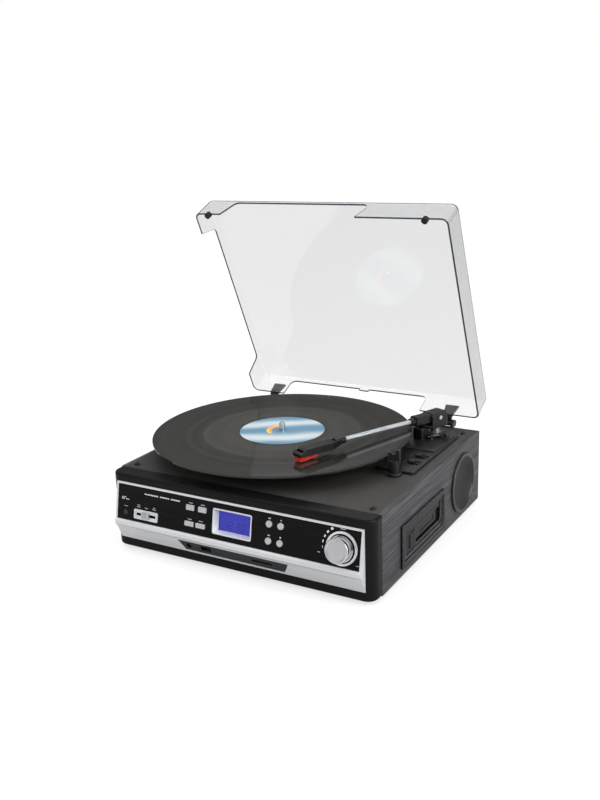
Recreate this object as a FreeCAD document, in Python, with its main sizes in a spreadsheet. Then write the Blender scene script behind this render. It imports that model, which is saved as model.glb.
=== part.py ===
"""Record player with a radio display, a cassette slot and built-in speakers.

Millimetres, +Z up, +X to the right and +Y to the back. The origin is the middle of the cabinet's
footprint, on the surface that the feet stand on. The dust cover is modelled open, the tonearm playing.
"""
import FreeCAD, Part
import Sketcher
import math
import os

Vector = FreeCAD.Vector

SIZES = {
    # cuts run past their piece by this much, and loose fits leave this much round a piece
    "overrun": 2.0,
    "fit_gap": 0.15,
    "running_gap": 0.05,
    "moving_gap": 0.3,
    # cabinet boards and feet
    "cabinet_width": 322.0,
    "cabinet_depth": 297.0,
    "cabinet_height": 87.0,
    "side_thickness": 9.0,
    "side_edge": 4.5,
    "deck_thickness": 12.0,
    "base_thickness": 6.0,
    "rear_thickness": 6.0,
    "foot_height": 4.0,
    "foot_radius": 10.0,
    "foot_draft": 1.5,
    "foot_inset": 32.0,
    "vent_length": 60.0,
    "vent_width": 4.0,
    "vent_pitch": 12.0,
    "vent_back": 70.0,
    # deck screws
    "screw_inset": 14.0,
    "screw_front": 29.5,
    "screw_back": 19.0,
    "screw_shank_radius": 1.6,
    "screw_head_radius": 3.4,
    "screw_head_height": 1.6,
    "screw_socket_radius": 1.8,
    "screw_cross": 0.8,
    "screw_length": 10.0,
    # front frame
    "frame_depth": 19.5,
    "frame_corner_radius": 12.0,
    "frame_edge_radius": 3.0,
    "frame_side_border": 9.0,
    "frame_top_border": 9.0,
    "frame_bottom_border": 11.0,
    # silver trim: slanted window, lip and lower band
    "trim_wall": 2.2,
    "trim_seat": 7.0,
    "trim_proud": 0.5,
    "panel_slant": 11.2,
    "band_height": 16.5,
    "lip_height": 9.0,
    "lip_proud": 1.6,
    "lip_flat": 4.6,
    "lip_undercut": 2.8,
    "lip_radius": 1.6,
    # control panel and what sits in it
    "panel_thickness": 3.0,
    "panel_recess": 0.4,
    "panel_foot_gap": 0.75,
    "display_x": 1.8,
    "display_width": 48.0,
    "display_height": 27.5,
    "display_corner": 2.0,
    "display_rim": 1.3,
    "display_depth": 5.5,
    "display_glass_width": 40.0,
    "display_glass_height": 20.5,
    "display_proud": 0.5,
    "display_module_depth": 4.0,
    "button_proud": 1.6,
    "button_flange_gap": 1.2,
    "button_flange": 0.6,
    "button_edge": 0.4,
    "button_row": 8.8,
    "button_corner": 0.8,
    "upper_button_width": 10.2,
    "upper_button_height": 5.8,
    "upper_button_outer": 51.2,
    "upper_button_inner": 35.6,
    "lower_button_width": 11.6,
    "lower_button_height": 5.2,
    "lower_button_outer": 51.6,
    "lower_button_inner": 37.2,
    "round_button_radius": 3.5,
    "round_button_inner": 46.6,
    "round_button_outer": 60.2,
    "switch_x": 109.8,
    "switch_drop": 10.5,
    "switch_width": 32.0,
    "switch_height": 10.5,
    "switch_wall": 1.4,
    "switch_proud": 1.2,
    "switch_floor": 0.4,
    "switch_corner": 1.2,
    "slot_width": 26.0,
    "slot_height": 3.0,
    "slider_width": 9.0,
    "slider_height": 6.4,
    "slider_proud": 3.4,
    "slider_stem_width": 4.0,
    "slider_stem_height": 2.4,
    "slider_groove": 0.8,
    "sensor_x": 138.0,
    "sensor_drop": 11.0,
    "sensor_radius": 3.0,
    "sensor_proud": 0.4,
    "volume_x": 129.5,
    "volume_drop": 0.4,
    "ring_radius": 17.0,
    "ring_width": 2.2,
    "ring_height": 1.6,
    "knob_radius": 12.6,
    "knob_height": 12.5,
    "knob_lift": 0.6,
    "knob_edge": 0.9,
    "knob_dish": 0.5,
    "knob_notch_width": 1.4,
    "knob_skirt": 0.8,
    "knob_skirt_height": 2.5,
    "shaft_radius": 3.0,
    "shaft_hole_radius": 4.2,
    "shaft_depth": 9.0,
    "pot_side": 17.0,
    "pot_depth": 8.0,
    # circuit boards
    "board_thickness": 1.6,
    "board_post_radius": 2.0,
    "panel_board_gap": 3.6,
    "panel_board_height": 35.2,
    "left_board_inner": 27.5,
    "left_board_outer": 128.0,
    "right_board_inner": 34.0,
    "right_board_outer": 72.0,
    "board_post_inset": 4.0,
    "main_board_left": 125.0,
    "main_board_right": 20.0,
    "main_board_front": 36.5,
    "main_board_length": 102.0,
    "main_board_post": 6.0,
    # port insert and its sockets
    "port_top_half": 69.0,
    "port_bottom_half": 61.8,
    "port_top_drop": 1.4,
    "port_foot": 2.5,
    "port_recess": 0.9,
    "port_thickness": 3.0,
    "port_board_half": 61.2,
    "port_board_depth": 16.0,
    "socket_axis_height": 4.6,
    "jack_x": 56.4,
    "jack_side": 8.6,
    "jack_depth": 13.0,
    "jack_radius": 1.8,
    "jack_bore": 11.5,
    "jack_mouth_radius": 3.2,
    "usb_x": 34.5,
    "usb_width": 14.6,
    "usb_height": 7.4,
    "usb_depth": 15.0,
    "usb_wall": 0.8,
    "usb_bore": 12.5,
    "card_x": 35.7,
    "card_width": 28.0,
    "card_height": 5.2,
    "card_depth": 15.0,
    "card_slot_width": 24.6,
    "card_slot_height": 2.6,
    "card_bore": 13.0,
    # rear sockets
    "line_x": 96.0,
    "line_pitch": 14.0,
    "line_height": 40.0,
    "line_barrel_radius": 4.15,
    "line_bore_radius": 1.65,
    "line_bore": 9.5,
    "line_flange_radius": 6.0,
    "line_flange": 1.5,
    "line_reach": 8.0,
    "line_body": 10.0,
    "inlet_x": 132.0,
    "inlet_radius": 5.5,
    "inlet_bore_radius": 2.75,
    "inlet_pin_radius": 1.05,
    "inlet_bore": 9.0,
    "inlet_body": 14.0,
    "inlet_flange_radius": 7.0,
    # speakers
    "speaker_back_share": 0.1935,
    "speaker_height": 45.0,
    "grille_radius": 36.0,
    "grille_ring": 5.0,
    "grille_proud": 2.6,
    "grille_dish": 8.0,
    "grille_thickness": 1.5,
    "grille_bead": 1.2,
    "grille_bowl": 30.0,
    "speaker_hole_radius": 31.5,
    "driver_flange_radius": 33.8,
    "driver_flange": 2.0,
    "driver_cone_depth": 14.0,
    "driver_neck_radius": 15.0,
    "driver_magnet_radius": 22.0,
    "driver_magnet": 12.0,
    # cassette slot
    "cassette_front_share": 0.5806,
    "cassette_bottom": 9.0,
    "bezel_length": 116.5,
    "bezel_height": 47.5,
    "bezel_proud": 3.0,
    "bezel_corner": 1.5,
    "bezel_edge": 0.8,
    "bezel_step_width": 4.5,
    "bezel_step_depth": 1.3,
    "bezel_collar_depth": 9.5,
    "bezel_collar_inset": 3.0,
    "slot_front": 21.5,
    "slot_bottom": 13.5,
    "slot_back": 9.5,
    "slot_opening": 17.8,
    "key_width": 15.0,
    "key_gap": 0.4,
    "key_proud": 1.0,
    "key_depth": 12.0,
    "key_edge": 0.8,
    "divider_width": 1.6,
    "flap_thickness": 1.6,
    "flap_setback": 2.2,
    "flap_pin_radius": 1.1,
    "flap_pin_drop": 2.2,
    "flap_pin_reach": 1.2,
    "flap_rib_length": 40.0,
    "flap_rib_height": 6.0,
    "flap_rib_depth": 0.5,
    "carriage_depth": 108.0,
    "carriage_wall": 1.2,
    "carriage_leg": 10.0,
    # platter, record, spindle and drive
    "record_radius": 150.5,
    "record_overhang": 4.5,
    "record_thickness": 1.9,
    "record_rise": 20.0,
    "record_hole_radius": 3.62,
    "record_rim": 3.0,
    "record_rim_rise": 0.15,
    "label_radius": 50.0,
    "mat_thickness": 2.0,
    "mat_radius": 99.0,
    "platter_radius": 102.0,
    "platter_thickness": 4.1,
    "platter_edge": 1.2,
    "drive_ring_radius": 62.0,
    "drive_ring_wall": 3.0,
    "drive_ring_height": 8.5,
    "platter_hub_radius": 11.0,
    "platter_rib": 2.0,
    "spindle_radius": 3.5,
    "spindle_collar_radius": 3.575,
    "spindle_collar_rise": 0.5,
    "spindle_tip_radius": 3.4,
    "spindle_tip_length": 8.0,
    "spindle_dome": 2.2,
    "spindle_foot": 22.0,
    "bush_radius": 6.0,
    "bush_flange_radius": 10.0,
    "bush_flange": 1.8,
    "bush_floor": 3.0,
    "pulley_distance": 80.0,
    "pulley_radius": 6.0,
    "pulley_flange": 1.3,
    "pulley_lip": 1.0,
    "pulley_rise": 2.5,
    "pulley_height": 8.5,
    "motor_shaft_radius": 1.0,
    "motor_radius": 17.5,
    "motor_height": 25.0,
    "motor_collar_radius": 5.0,
    "motor_collar": 6.0,
    "motor_shaft_depth": 20.0,
    "belt_width": 5.0,
    "belt_thickness": 0.8,
    # tonearm plate on the deck, placed from the arm's pivot
    "plate_left": 16.5,
    "plate_right": 28.0,
    "plate_front": 130.5,
    "plate_back": 14.0,
    "plate_height": 3.2,
    "plate_step_height": 1.6,
    "plate_step_front": 64.0,
    "plate_step_inset": 2.5,
    "plate_corner": 3.0,
    "plate_edge": 0.8,
    "plate_rear_corner": 14.0,
    "well_right": 14.5,
    "well_width": 19.0,
    "well_length": 12.0,
    "well_depth": 1.4,
    "well_corner": 1.2,
    "autostop_front": 102.5,
    "speed_front": 82.0,
    "knob_slot_width": 13.0,
    "knob_slot_length": 4.0,
    "slide_knob_width": 5.6,
    "slide_knob_length": 7.0,
    "slide_knob_height": 3.6,
    "slide_stem": 2.4,
    # tonearm
    "pivot_right": 41.5,
    "pivot_back": 38.5,
    "pivot_clearance": 32.0,
    "pivot_rise": 25.0,
    "arm_heading": 111.8,
    "arm_tilt": 1.9,
    "arm_reach": 207.1,
    "pillar_radius": 7.0,
    "pillar_top_radius": 4.2,
    "pillar_height": 7.8,
    "pivot_shaft_radius": 1.5,
    "pivot_shaft_length": 6.0,
    "housing_length": 27.0,
    "housing_back": 14.0,
    "housing_width": 20.0,
    "housing_side_shift": 1.5,
    "housing_drop": 12.0,
    "housing_rise": 6.0,
    "housing_chamfer": 3.2,
    "housing_corner": 4.0,
    "housing_mouth_width": 13.0,
    "housing_mouth_drop": 7.0,
    "housing_mouth_rise": 3.6,
    "housing_mouth_back": 8.0,
    "arm_pin_radius": 1.5,
    "arm_pin_bite": 3.0,
    "arm_pin_head_radius": 2.4,
    "arm_pin_head": 0.7,
    "stub_half_width": 6.1,
    "stub_back": 5.0,
    "stub_drop": 4.4,
    "stub_rise": 2.6,
    "socket_start": 14.4,
    "socket_end": 36.0,
    "socket_radius": 5.5,
    "socket_corner": 1.5,
    "socket_neck_radius": 4.4,
    "socket_neck": 6.0,
    "tube_radius": 2.9,
    "tube_end": 150.0,
    "tube_bite": 8.0,
    "shell_start": 143.0,
    "shell_collar": 7.0,
    "shell_collar_radius": 4.2,
    "shell_end": 209.0,
    "shell_width": 14.0,
    "shell_neck_width": 9.0,
    "shell_top": 2.2,
    "shell_depth": 7.7,
    "shell_wall": 1.6,
    "shell_nose_slope": 9.0,
    "shell_shoulder": 14.0,
    "cartridge_start": 168.0,
    "cartridge_end": 201.0,
    "cartridge_width": 10.0,
    "cartridge_drop": 6.4,
    "stylus_start": 184.0,
    "stylus_end": 208.4,
    "stylus_width": 9.6,
    "stylus_body": 4.3,
    "stylus_tip_radius": 0.6,
    "stylus_nose": 5.0,
    # arm lift and cueing lever
    "lift_radius": 26.0,
    "lift_width": 4.0,
    "lift_thickness": 2.0,
    "lift_inner_sweep": 26.0,
    "lift_outer_sweep": 36.0,
    "lift_gap": 0.4,
    "lift_stem_radius": 2.0,
    "lift_stem": 9.0,
    "lift_block_length": 15.0,
    "lift_block_width": 14.0,
    "lift_block_corner": 2.0,
    "lift_block_edge": 0.8,
    "lever_right": 2.5,
    "lever_front": 29.5,
    "lever_heading": 51.0,
    "lever_rise": 3.4,
    "lever_length": 21.0,
    "lever_radius": 1.2,
    "lever_lug_width": 3.0,
    "lever_lug_length": 4.4,
    "lever_lug_inset": 3.0,
    "lever_handle": 11.0,
    "lever_handle_radius": 1.4,
    "lever_grip_radius": 2.2,
    "lever_grip": 6.0,
    # arm rest
    "rest_clearance": 3.85,
    "rest_swing": 25.7,
    "rest_base_radius": 7.6,
    "rest_base": 3.0,
    "rest_draft": 1.4,
    "rest_post_radius": 5.6,
    "rest_post": 17.0,
    "rest_fork_width": 13.0,
    "rest_fork_length": 5.0,
    "rest_seat": 24.5,
    "rest_inner_horn": 26.2,
    "rest_outer_horn": 29.5,
    "rest_seat_radius": 3.6,
    # dust cover
    "lid_width": 321.0,
    "lid_length": 273.0,
    "lid_depth": 34.0,
    "lid_wall": 2.0,
    "lid_corner": 8.0,
    "lid_edge": 5.0,
    "lid_standoff": 5.5,
    "lid_setback": 11.0,
    "lid_open": 66.0,
    "cut_height": 27.0,
    "cut_corner": 7.0,
    "cut_lean": 9.0,
    "front_cut_left": 116.0,
    "front_cut_right": 52.0,
    "left_cut_back": 37.0,
    "left_cut_front": 236.0,
    "rear_cut_left": 113.0,
    "rear_cut_right": 83.0,
    "tab_left": 11.0,
    "tab_right": 2.0,
    "tab_drop": 3.0,
    "bumper_radius": 3.6,
    "bumper_left": 139.0,
    "bumper_right": 136.0,
    # lid hinges
    "hinge_x": 124.0,
    "hinge_shift": 4.0,
    "hinge_overhang": 4.0,
    "hinge_lug_top": 1.5,
    "hinge_rise": 4.1,
    "hinge_width": 17.0,
    "hinge_lug": 3.4,
    "hinge_lug_radius": 4.2,
    "hinge_pin_radius": 1.5,
    "hinge_knuckle_radius": 4.0,
    "hinge_foot_front": 8.0,
    "hinge_foot_height": 0.9,
    "leaf_thickness": 2.4,
    "leaf_top": 19.0,
    "leaf_foot": 1.0,
    "leaf_web": 3.0,
    "leaf_taper": 3.0,
}


class Size:
    """A value together with the sheet expression that gives it, so that sums of sizes stay bound."""

    def __init__(self, value, text):
        self.value = value
        self.text = text

    def joined(self, other, sign, value):
        return Size(value, f"({self.text} {sign} {text_of(other)})")

    def __add__(self, other):
        return self.joined(other, "+", self.value + value_of(other))

    def __sub__(self, other):
        return self.joined(other, "-", self.value - value_of(other))

    def __mul__(self, other):
        return self.joined(other, "*", self.value * value_of(other))

    def __truediv__(self, other):
        return self.joined(other, "/", self.value / value_of(other))

    def __radd__(self, other):
        return Size(other + self.value, f"({other} + {self.text})")

    def __rsub__(self, other):
        return Size(other - self.value, f"({other} - {self.text})")

    def __neg__(self):
        return 0 - self


def value_of(size):
    return size.value if isinstance(size, Size) else size


def text_of(size):
    return size.text if isinstance(size, Size) else str(size)


def sine(angle):
    return Size(math.sin(math.radians(angle.value)), f"sin({angle.text})")


def cosine(angle):
    return Size(math.cos(math.radians(angle.value)), f"cos({angle.text})")


def tangent(angle):
    return Size(math.tan(math.radians(angle.value)), f"tan({angle.text})")


def root(area):
    return Size(math.sqrt(area.value), f"sqrt({area.text})")


def point(*sizes):
    return Vector(*[value_of(size) for size in sizes])


class Sheet:
    """The driving sizes by name."""


doc = FreeCAD.newDocument("RecordPlayer")
sheet = doc.addObject("Spreadsheet::Sheet", "sizes")
s = Sheet()
for row, (alias, number) in enumerate(SIZES.items(), start=1):
    sheet.set(f"A{row}", alias)
    sheet.set(f"B{row}", str(number))
    sheet.setAlias(f"B{row}", alias)
    setattr(s, alias, Size(number, f"sizes.{alias}"))
doc.recompute()

X_AXIS = Vector(1, 0, 0)
Y_AXIS = Vector(0, 1, 0)
Z_AXIS = Vector(0, 0, 1)
RIGHT_ANGLE = 90
HALF_TURN = 180
FULL_TURN = 360
UPRIGHT = FreeCAD.Rotation()
# turns a piece drawn face up so that its face looks out of the right side, its X to the back
RIGHT_SIDE = FreeCAD.Rotation(Vector(1, 1, 1), FULL_TURN / 3)
LEFT_SIDE = FreeCAD.Rotation(Z_AXIS, HALF_TURN).multiply(RIGHT_SIDE)
# turns a piece drawn face up so that its face looks out of the back
REAR_SIDE = FreeCAD.Rotation(X_AXIS, -RIGHT_ANGLE)
pieces = []


def keep(label, thing):
    """Name a finished sub-part and list it for writing."""
    thing.Label = label
    pieces.append(thing)
    return thing


def set_place(thing, place, rotation=UPRIGHT):
    """Bind an object's place to the sheet, and turn it."""
    thing.Placement = FreeCAD.Placement(point(*place), rotation)
    for letter, size in zip("xyz", place):
        thing.setExpression(f"Placement.Base.{letter}", text_of(size))
    return thing


def set_turned(thing, place, axis, angle):
    """Bind an object's place and its turn about one axis to the sheet."""
    set_place(thing, place, FreeCAD.Rotation(axis, angle.value))
    thing.setExpression("Placement.Rotation.Angle", angle.text)
    return thing


def block(low, high):
    """A box between two corners, each a row of three sizes."""
    box = doc.addObject("Part::Box", "Block")
    for side, start, end in zip(("Length", "Width", "Height"), low, high):
        box.setExpression(side, f"{text_of(end)} - {text_of(start)}")
    return set_place(box, low)


def cylinder(radius, length, place, rotation=UPRIGHT):
    rod = doc.addObject("Part::Cylinder", "Cylinder")
    rod.setExpression("Radius", radius.text)
    rod.setExpression("Height", length.text)
    return set_place(rod, place, rotation)


def cone(low_radius, high_radius, length, place):
    taper = doc.addObject("Part::Cone", "Cone")
    taper.setExpression("Radius1", low_radius.text)
    taper.setExpression("Radius2", high_radius.text)
    taper.setExpression("Height", length.text)
    return set_place(taper, place)


def fused(*shapes):
    whole = doc.addObject("Part::MultiFuse", "Fuse")
    whole.Shapes = list(shapes)
    whole.Refine = True
    return whole


def cut(base, *tools):
    whole = doc.addObject("Part::Cut", "Cut")
    whole.Base = base
    whole.Tool = tools[0] if len(tools) == 1 else fused(*tools)
    return whole


def group(*shapes):
    """Separate solids that share one node."""
    whole = doc.addObject("Part::Compound", "Group")
    whole.Links = list(shapes)
    return whole


def new_body():
    return doc.addObject("PartDesign::Body", "Body")


def new_sketch(body, role, offset=0):
    """A sketch on one of the body's own origin planes, moved along the plane's normal."""
    plane = next(feature for feature in body.Origin.OriginFeatures if feature.Role == role)
    sketch = body.newObject("Sketcher::SketchObject", "Sketch")
    sketch.AttachmentSupport = (plane, [""])
    sketch.MapMode = "FlatFace"
    sketch.setExpression("AttachmentOffset.Base.z", text_of(offset))
    return sketch


def constrain(sketch, size, *words):
    index = sketch.addConstraint(Sketcher.Constraint(*words, value_of(size)))
    sketch.setExpression(f"Constraints[{index}]", text_of(size))


def pin(sketch, geometry, end, x, y):
    """Hold one point of a sketch at sizes from the sheet."""
    for kind, size, axis in (("DistanceX", x, -2), ("DistanceY", y, -1)):
        if isinstance(size, Size):
            constrain(sketch, size, kind, -1, 1, geometry, end)
        else:
            sketch.addConstraint(Sketcher.Constraint("PointOnObject", geometry, end, axis))


def rounded(before, corner, after, radius):
    """Where a rounded corner's arc starts, its middle, and where it ends."""
    to_before = (before - corner).normalize()
    to_after = (after - corner).normalize()
    half = to_before.getAngle(to_after) / 2
    middle = (to_before + to_after).normalize()
    middle.multiply(radius / math.sin(half))
    reach = radius / math.tan(half)
    return corner + to_before * reach, corner + middle, corner + to_after * reach


def outline(sketch, *corners):
    """A closed outline through corners of two sizes, or of three where the corner is rounded."""
    places = [point(corner[0], corner[1], 0) for corner in corners]
    count = len(corners)
    arcs = {}
    for i, corner in enumerate(corners):
        if len(corner) == 3:
            arcs[i] = rounded(places[i - 1], places[i], places[(i + 1) % count], value_of(corner[2]))
    lines = []
    for i in range(count):
        start = arcs[i][2] if i in arcs else places[i]
        after = (i + 1) % count
        end = arcs[after][0] if after in arcs else places[after]
        lines.append(sketch.addGeometry(Part.LineSegment(start, end)))
    for i, corner in enumerate(corners):
        line_in, line_out = lines[i - 1], lines[i]
        if i not in arcs:
            sketch.addConstraint(Sketcher.Constraint("Coincident", line_in, 2, line_out, 1))
            pin(sketch, line_out, 1, corner[0], corner[1])
            continue
        start, middle, end = arcs[i]
        radius = value_of(corner[2])
        turn = (places[i] - places[i - 1]).cross(places[(i + 1) % count] - places[i]).z
        first, last = (start, end) if turn > 0 else (end, start)
        angles = [math.atan2(spot.y - middle.y, spot.x - middle.x) for spot in (first, last)]
        arc = sketch.addGeometry(Part.ArcOfCircle(Part.Circle(middle, Z_AXIS, radius), *angles))
        ends = (1, 2) if turn > 0 else (2, 1)
        sketch.addConstraint(Sketcher.Constraint("Tangent", line_in, 2, arc, ends[0]))
        sketch.addConstraint(Sketcher.Constraint("Tangent", arc, ends[1], line_out, 1))
        constrain(sketch, corner[2], "Radius", arc)
        mark = sketch.addGeometry(Part.Point(places[i]), True)
        pin(sketch, mark, 1, corner[0], corner[1])
        sketch.addConstraint(Sketcher.Constraint("PointOnObject", mark, 1, line_in))
        sketch.addConstraint(Sketcher.Constraint("PointOnObject", mark, 1, line_out))


def rectangle(sketch, x, y, width, height, radius=None):
    """A rectangle by its middle and its two sides, with rounded corners if a radius is given."""
    tail = () if radius is None else (radius,)
    left, right = x - width / 2, x + width / 2
    low, high = y - height / 2, y + height / 2
    outline(sketch, (left, low, *tail), (right, low, *tail), (right, high, *tail), (left, high, *tail))


def circle(sketch, x, y, radius):
    ring = sketch.addGeometry(Part.Circle(point(x, y, 0), Z_AXIS, radius.value))
    pin(sketch, ring, 3, x, y)
    constrain(sketch, radius, "Radius", ring)


def pad(body, sketch, length, reverse=False, both=False):
    feature = body.newObject("PartDesign::Pad", "Pad")
    feature.Profile = sketch
    feature.setExpression("Length", length.text)
    feature.Reversed = reverse
    feature.SideType = "Symmetric" if both else "One side"
    return feature


def pocket(body, sketch, length=None, reverse=False):
    """A cut of one length to one side, or right through both ways where no length is given."""
    feature = body.newObject("PartDesign::Pocket", "Pocket")
    feature.Profile = sketch
    if length is None:
        feature.Type = "ThroughAll"
        feature.SideType = "Symmetric"
    else:
        feature.setExpression("Length", length.text)
        feature.Reversed = reverse
    return feature


def slice_through(body, sketch, length):
    """A cut that reaches half its length to each side of the sketch."""
    feature = pocket(body, sketch, length)
    feature.SideType = "Symmetric"
    return feature


def revolve(body, sketch, axis="V_Axis"):
    feature = body.newObject("PartDesign::Revolution", "Revolution")
    feature.Profile = sketch
    feature.ReferenceAxis = (sketch, [axis])
    feature.Angle = FULL_TURN
    return feature


def dress(body, kind, base, edges, size):
    """A fillet or chamfer on the named edges of a feature."""
    feature = body.newObject(f"PartDesign::{kind}", kind)
    feature.Base = (base, edges)
    feature.setExpression("Radius" if kind == "Fillet" else "Size", size.text)
    return feature


def edges_where(feature, test):
    """The names of a feature's edges whose end points, taken together, pass a test."""
    doc.recompute()
    edges = enumerate(feature.Shape.Edges, start=1)
    return [f"Edge{number}" for number, edge in edges if test([vertex.Point for vertex in edge.Vertexes])]


def near(value, size):
    return math.isclose(value, value_of(size), abs_tol=s.running_gap.value)


# levels and planes that several pieces share
half_width = s.cabinet_width / 2
front_y = -s.cabinet_depth / 2
rear_y = s.cabinet_depth / 2
seam_y = front_y + s.frame_depth
base_top = s.foot_height + s.base_thickness
deck_top = s.foot_height + s.cabinet_height
deck_under = deck_top - s.deck_thickness
inside_half = half_width - s.side_thickness
deck_half = half_width - s.side_edge
side_spare = s.cabinet_depth - s.bezel_length - s.grille_radius * 2
speaker_y = rear_y - s.grille_radius - side_spare * s.speaker_back_share
pivot_x = half_width - s.pivot_right
pivot_y = rear_y - s.pivot_back
record_y = rear_y + s.record_overhang - s.record_radius
spindle_distance = s.record_radius + s.pivot_clearance
pivot_behind = pivot_y - record_y
pivot_beside = root(spindle_distance * spindle_distance - pivot_behind * pivot_behind)
record_x = pivot_x - pivot_beside
record_top = deck_top + s.record_rise
motor_x = record_x - s.pulley_distance
screw_x = half_width - s.screw_inset
screw_places = [(side, y) for side in (-screw_x, screw_x)
                for y in (front_y + s.screw_front, rear_y - s.screw_back)]

# base board, with a row of vent slots at the back
base = new_body()
sketch = new_sketch(base, "XY_Plane", s.foot_height)
base_back = rear_y - s.rear_thickness
outline(sketch, (-inside_half, seam_y), (inside_half, seam_y),
        (inside_half, base_back), (-inside_half, base_back))
for step in (-2, -1, 0, 1, 2):
    rectangle(sketch, s.vent_pitch * step - s.vent_width / 2, rear_y - s.vent_back, s.vent_width,
              s.vent_length)
pad(base, sketch, s.base_thickness)
keep("base_board", base)

# four rubber feet under the base
foot_x = half_width - s.foot_inset
foot_y = rear_y - s.foot_inset
feet = []
for x in (-foot_x, foot_x):
    for y in (-foot_y, foot_y):
        feet.append(cone(s.foot_radius - s.foot_draft, s.foot_radius, s.foot_height, (x, y, 0)))
keep("rubber_feet", group(*feet))

# side panels: a rebate along the top takes the deck, a hole takes the speaker
bezel_y = front_y + side_spare * s.cassette_front_share
bezel_z = s.foot_height + s.cassette_bottom
for label, side in (("left_side_panel", -1), ("right_side_panel", 1)):
    panel = new_body()
    sketch = new_sketch(panel, "XZ_Plane")
    inner = s.side_thickness * -side
    edge = s.side_edge * -side
    outline(sketch, (0, s.foot_height), (inner, s.foot_height), (inner, deck_under),
            (edge, deck_under), (edge, deck_top), (0, deck_top))
    pad(panel, sketch, rear_y - seam_y, reverse=True)
    hole = new_sketch(panel, "YZ_Plane")
    circle(hole, speaker_y - seam_y, s.speaker_height, s.speaker_hole_radius)
    if side > 0:
        rim = s.bezel_collar_inset - s.fit_gap
        low = bezel_y - seam_y + rim
        high = bezel_y - seam_y + s.bezel_length - rim
        outline(hole, (low, bezel_z + rim), (high, bezel_z + rim),
                (high, bezel_z + s.bezel_height - rim), (low, bezel_z + s.bezel_height - rim))
    pocket(panel, hole)
    keep(label, set_place(panel, (half_width * side, seam_y, 0)))

# rear panel, with holes for the line sockets and the power inlet
rear = new_body()
sketch = new_sketch(rear, "XZ_Plane")
outline(sketch, (-inside_half, s.foot_height), (inside_half, s.foot_height),
        (inside_half, deck_under), (-inside_half, deck_under))
for x in (s.line_x, s.line_x + s.line_pitch):
    circle(sketch, x, s.line_height, s.line_barrel_radius + s.fit_gap)
circle(sketch, s.inlet_x, s.line_height, s.inlet_radius + s.fit_gap)
pad(rear, sketch, s.rear_thickness)
keep("rear_panel", set_place(rear, (0, rear_y, 0)))

# deck board
deck = new_body()
sketch = new_sketch(deck, "XY_Plane", deck_under)
outline(sketch, (-deck_half, seam_y), (deck_half, seam_y), (deck_half, rear_y), (-deck_half, rear_y))
circle(sketch, record_x, record_y, s.bush_radius)
circle(sketch, motor_x, record_y, s.motor_collar_radius + s.fit_gap)
for x, y in screw_places:
    circle(sketch, x, y, s.screw_shank_radius)
pad(deck, sketch, s.deck_thickness)
keep("deck_board", deck)

# deck screws with a cross recess
screws = []
for x, y in screw_places:
    shank = cylinder(s.screw_shank_radius - s.running_gap, s.screw_length,
                     (x, y, deck_top - s.screw_length))
    head = cone(s.screw_head_radius, s.screw_head_radius - s.screw_cross / 2, s.screw_head_height,
                (x, y, deck_top))
    reach = s.screw_socket_radius
    half = s.screw_cross / 2
    floor = deck_top + s.screw_head_height / 2
    top = deck_top + s.screw_head_height + s.overrun
    bar_one = block((x - reach, y - half, floor), (x + reach, y + half, top))
    bar_two = block((x - half, y - reach, floor), (x + half, y + reach, top))
    screws.append(cut(fused(shank, head), bar_one, bar_two))
keep("cabinet_screws", group(*screws))

# front frame: one moulding with rounded ends and edges, open in the middle
frame = new_body()
sketch = new_sketch(frame, "XY_Plane", s.foot_height)
outline(sketch, (-half_width, seam_y), (-half_width, front_y, s.frame_corner_radius),
        (half_width, front_y, s.frame_corner_radius), (half_width, seam_y))
solid = pad(frame, sketch, s.cabinet_height)
edges = edges_where(solid, lambda spots: (
    all(near(spot.z, deck_top) for spot in spots) or all(near(spot.z, s.foot_height) for spot in spots))
    and not all(near(spot.y, seam_y) for spot in spots))
dress(frame, "Fillet", solid, edges, s.frame_edge_radius)
open_half = half_width - s.frame_side_border
open_low = s.foot_height + s.frame_bottom_border
open_high = deck_top - s.frame_top_border
sketch = new_sketch(frame, "XZ_Plane")
outline(sketch, (-open_half, open_low), (open_half, open_low), (open_half, open_high),
        (-open_half, open_high))
pocket(frame, sketch)
keep("front_frame", frame)

# silver trim: a slanted window above, a lip along the middle and a band that leans back below
trim_low = open_low + s.fit_gap
trim_high = open_high - s.fit_gap
trim_half = open_half - s.fit_gap
trim_face = front_y - s.trim_proud
trim_back = front_y + s.trim_seat
band_top = open_low + s.band_height
lip_top = band_top + s.lip_height
lip_face = trim_face - (trim_high - lip_top) * tangent(s.panel_slant)
lip_nose = lip_face - s.lip_proud
band_y = lip_nose + s.lip_undercut
trim = new_body()
sketch = new_sketch(trim, "YZ_Plane")
outline(sketch, (trim_back, trim_high), (trim_face, trim_high), (lip_face, lip_top),
        (lip_nose, lip_top - s.lip_proud, s.lip_radius),
        (lip_nose, lip_top - s.lip_proud - s.lip_flat, s.lip_radius),
        (band_y, band_top), (trim_face, trim_low), (trim_back, trim_low))
pad(trim, sketch, trim_half * 2, both=True)
window_half = trim_half - s.trim_wall
window_high = trim_high - s.trim_wall
sketch = new_sketch(trim, "XZ_Plane")
outline(sketch, (-window_half, lip_top), (window_half, lip_top), (window_half, window_high),
        (-window_half, window_high))
pocket(trim, sketch)
port_low = open_low + s.port_foot
port_high = band_top - s.port_top_drop
sketch = new_sketch(trim, "XZ_Plane")
outline(sketch, (-s.port_bottom_half, port_low), (s.port_bottom_half, port_low),
        (s.port_top_half, port_high), (-s.port_top_half, port_high))
pocket(trim, sketch)
keep("front_trim", trim)

# port insert: the band's slope between two planes, trimmed to the cut-out
band_lean = (trim_face - band_y) / s.band_height


def band_at(height):
    """How far forward the band stands at a height."""
    return trim_face - (height - open_low) * band_lean


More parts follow.
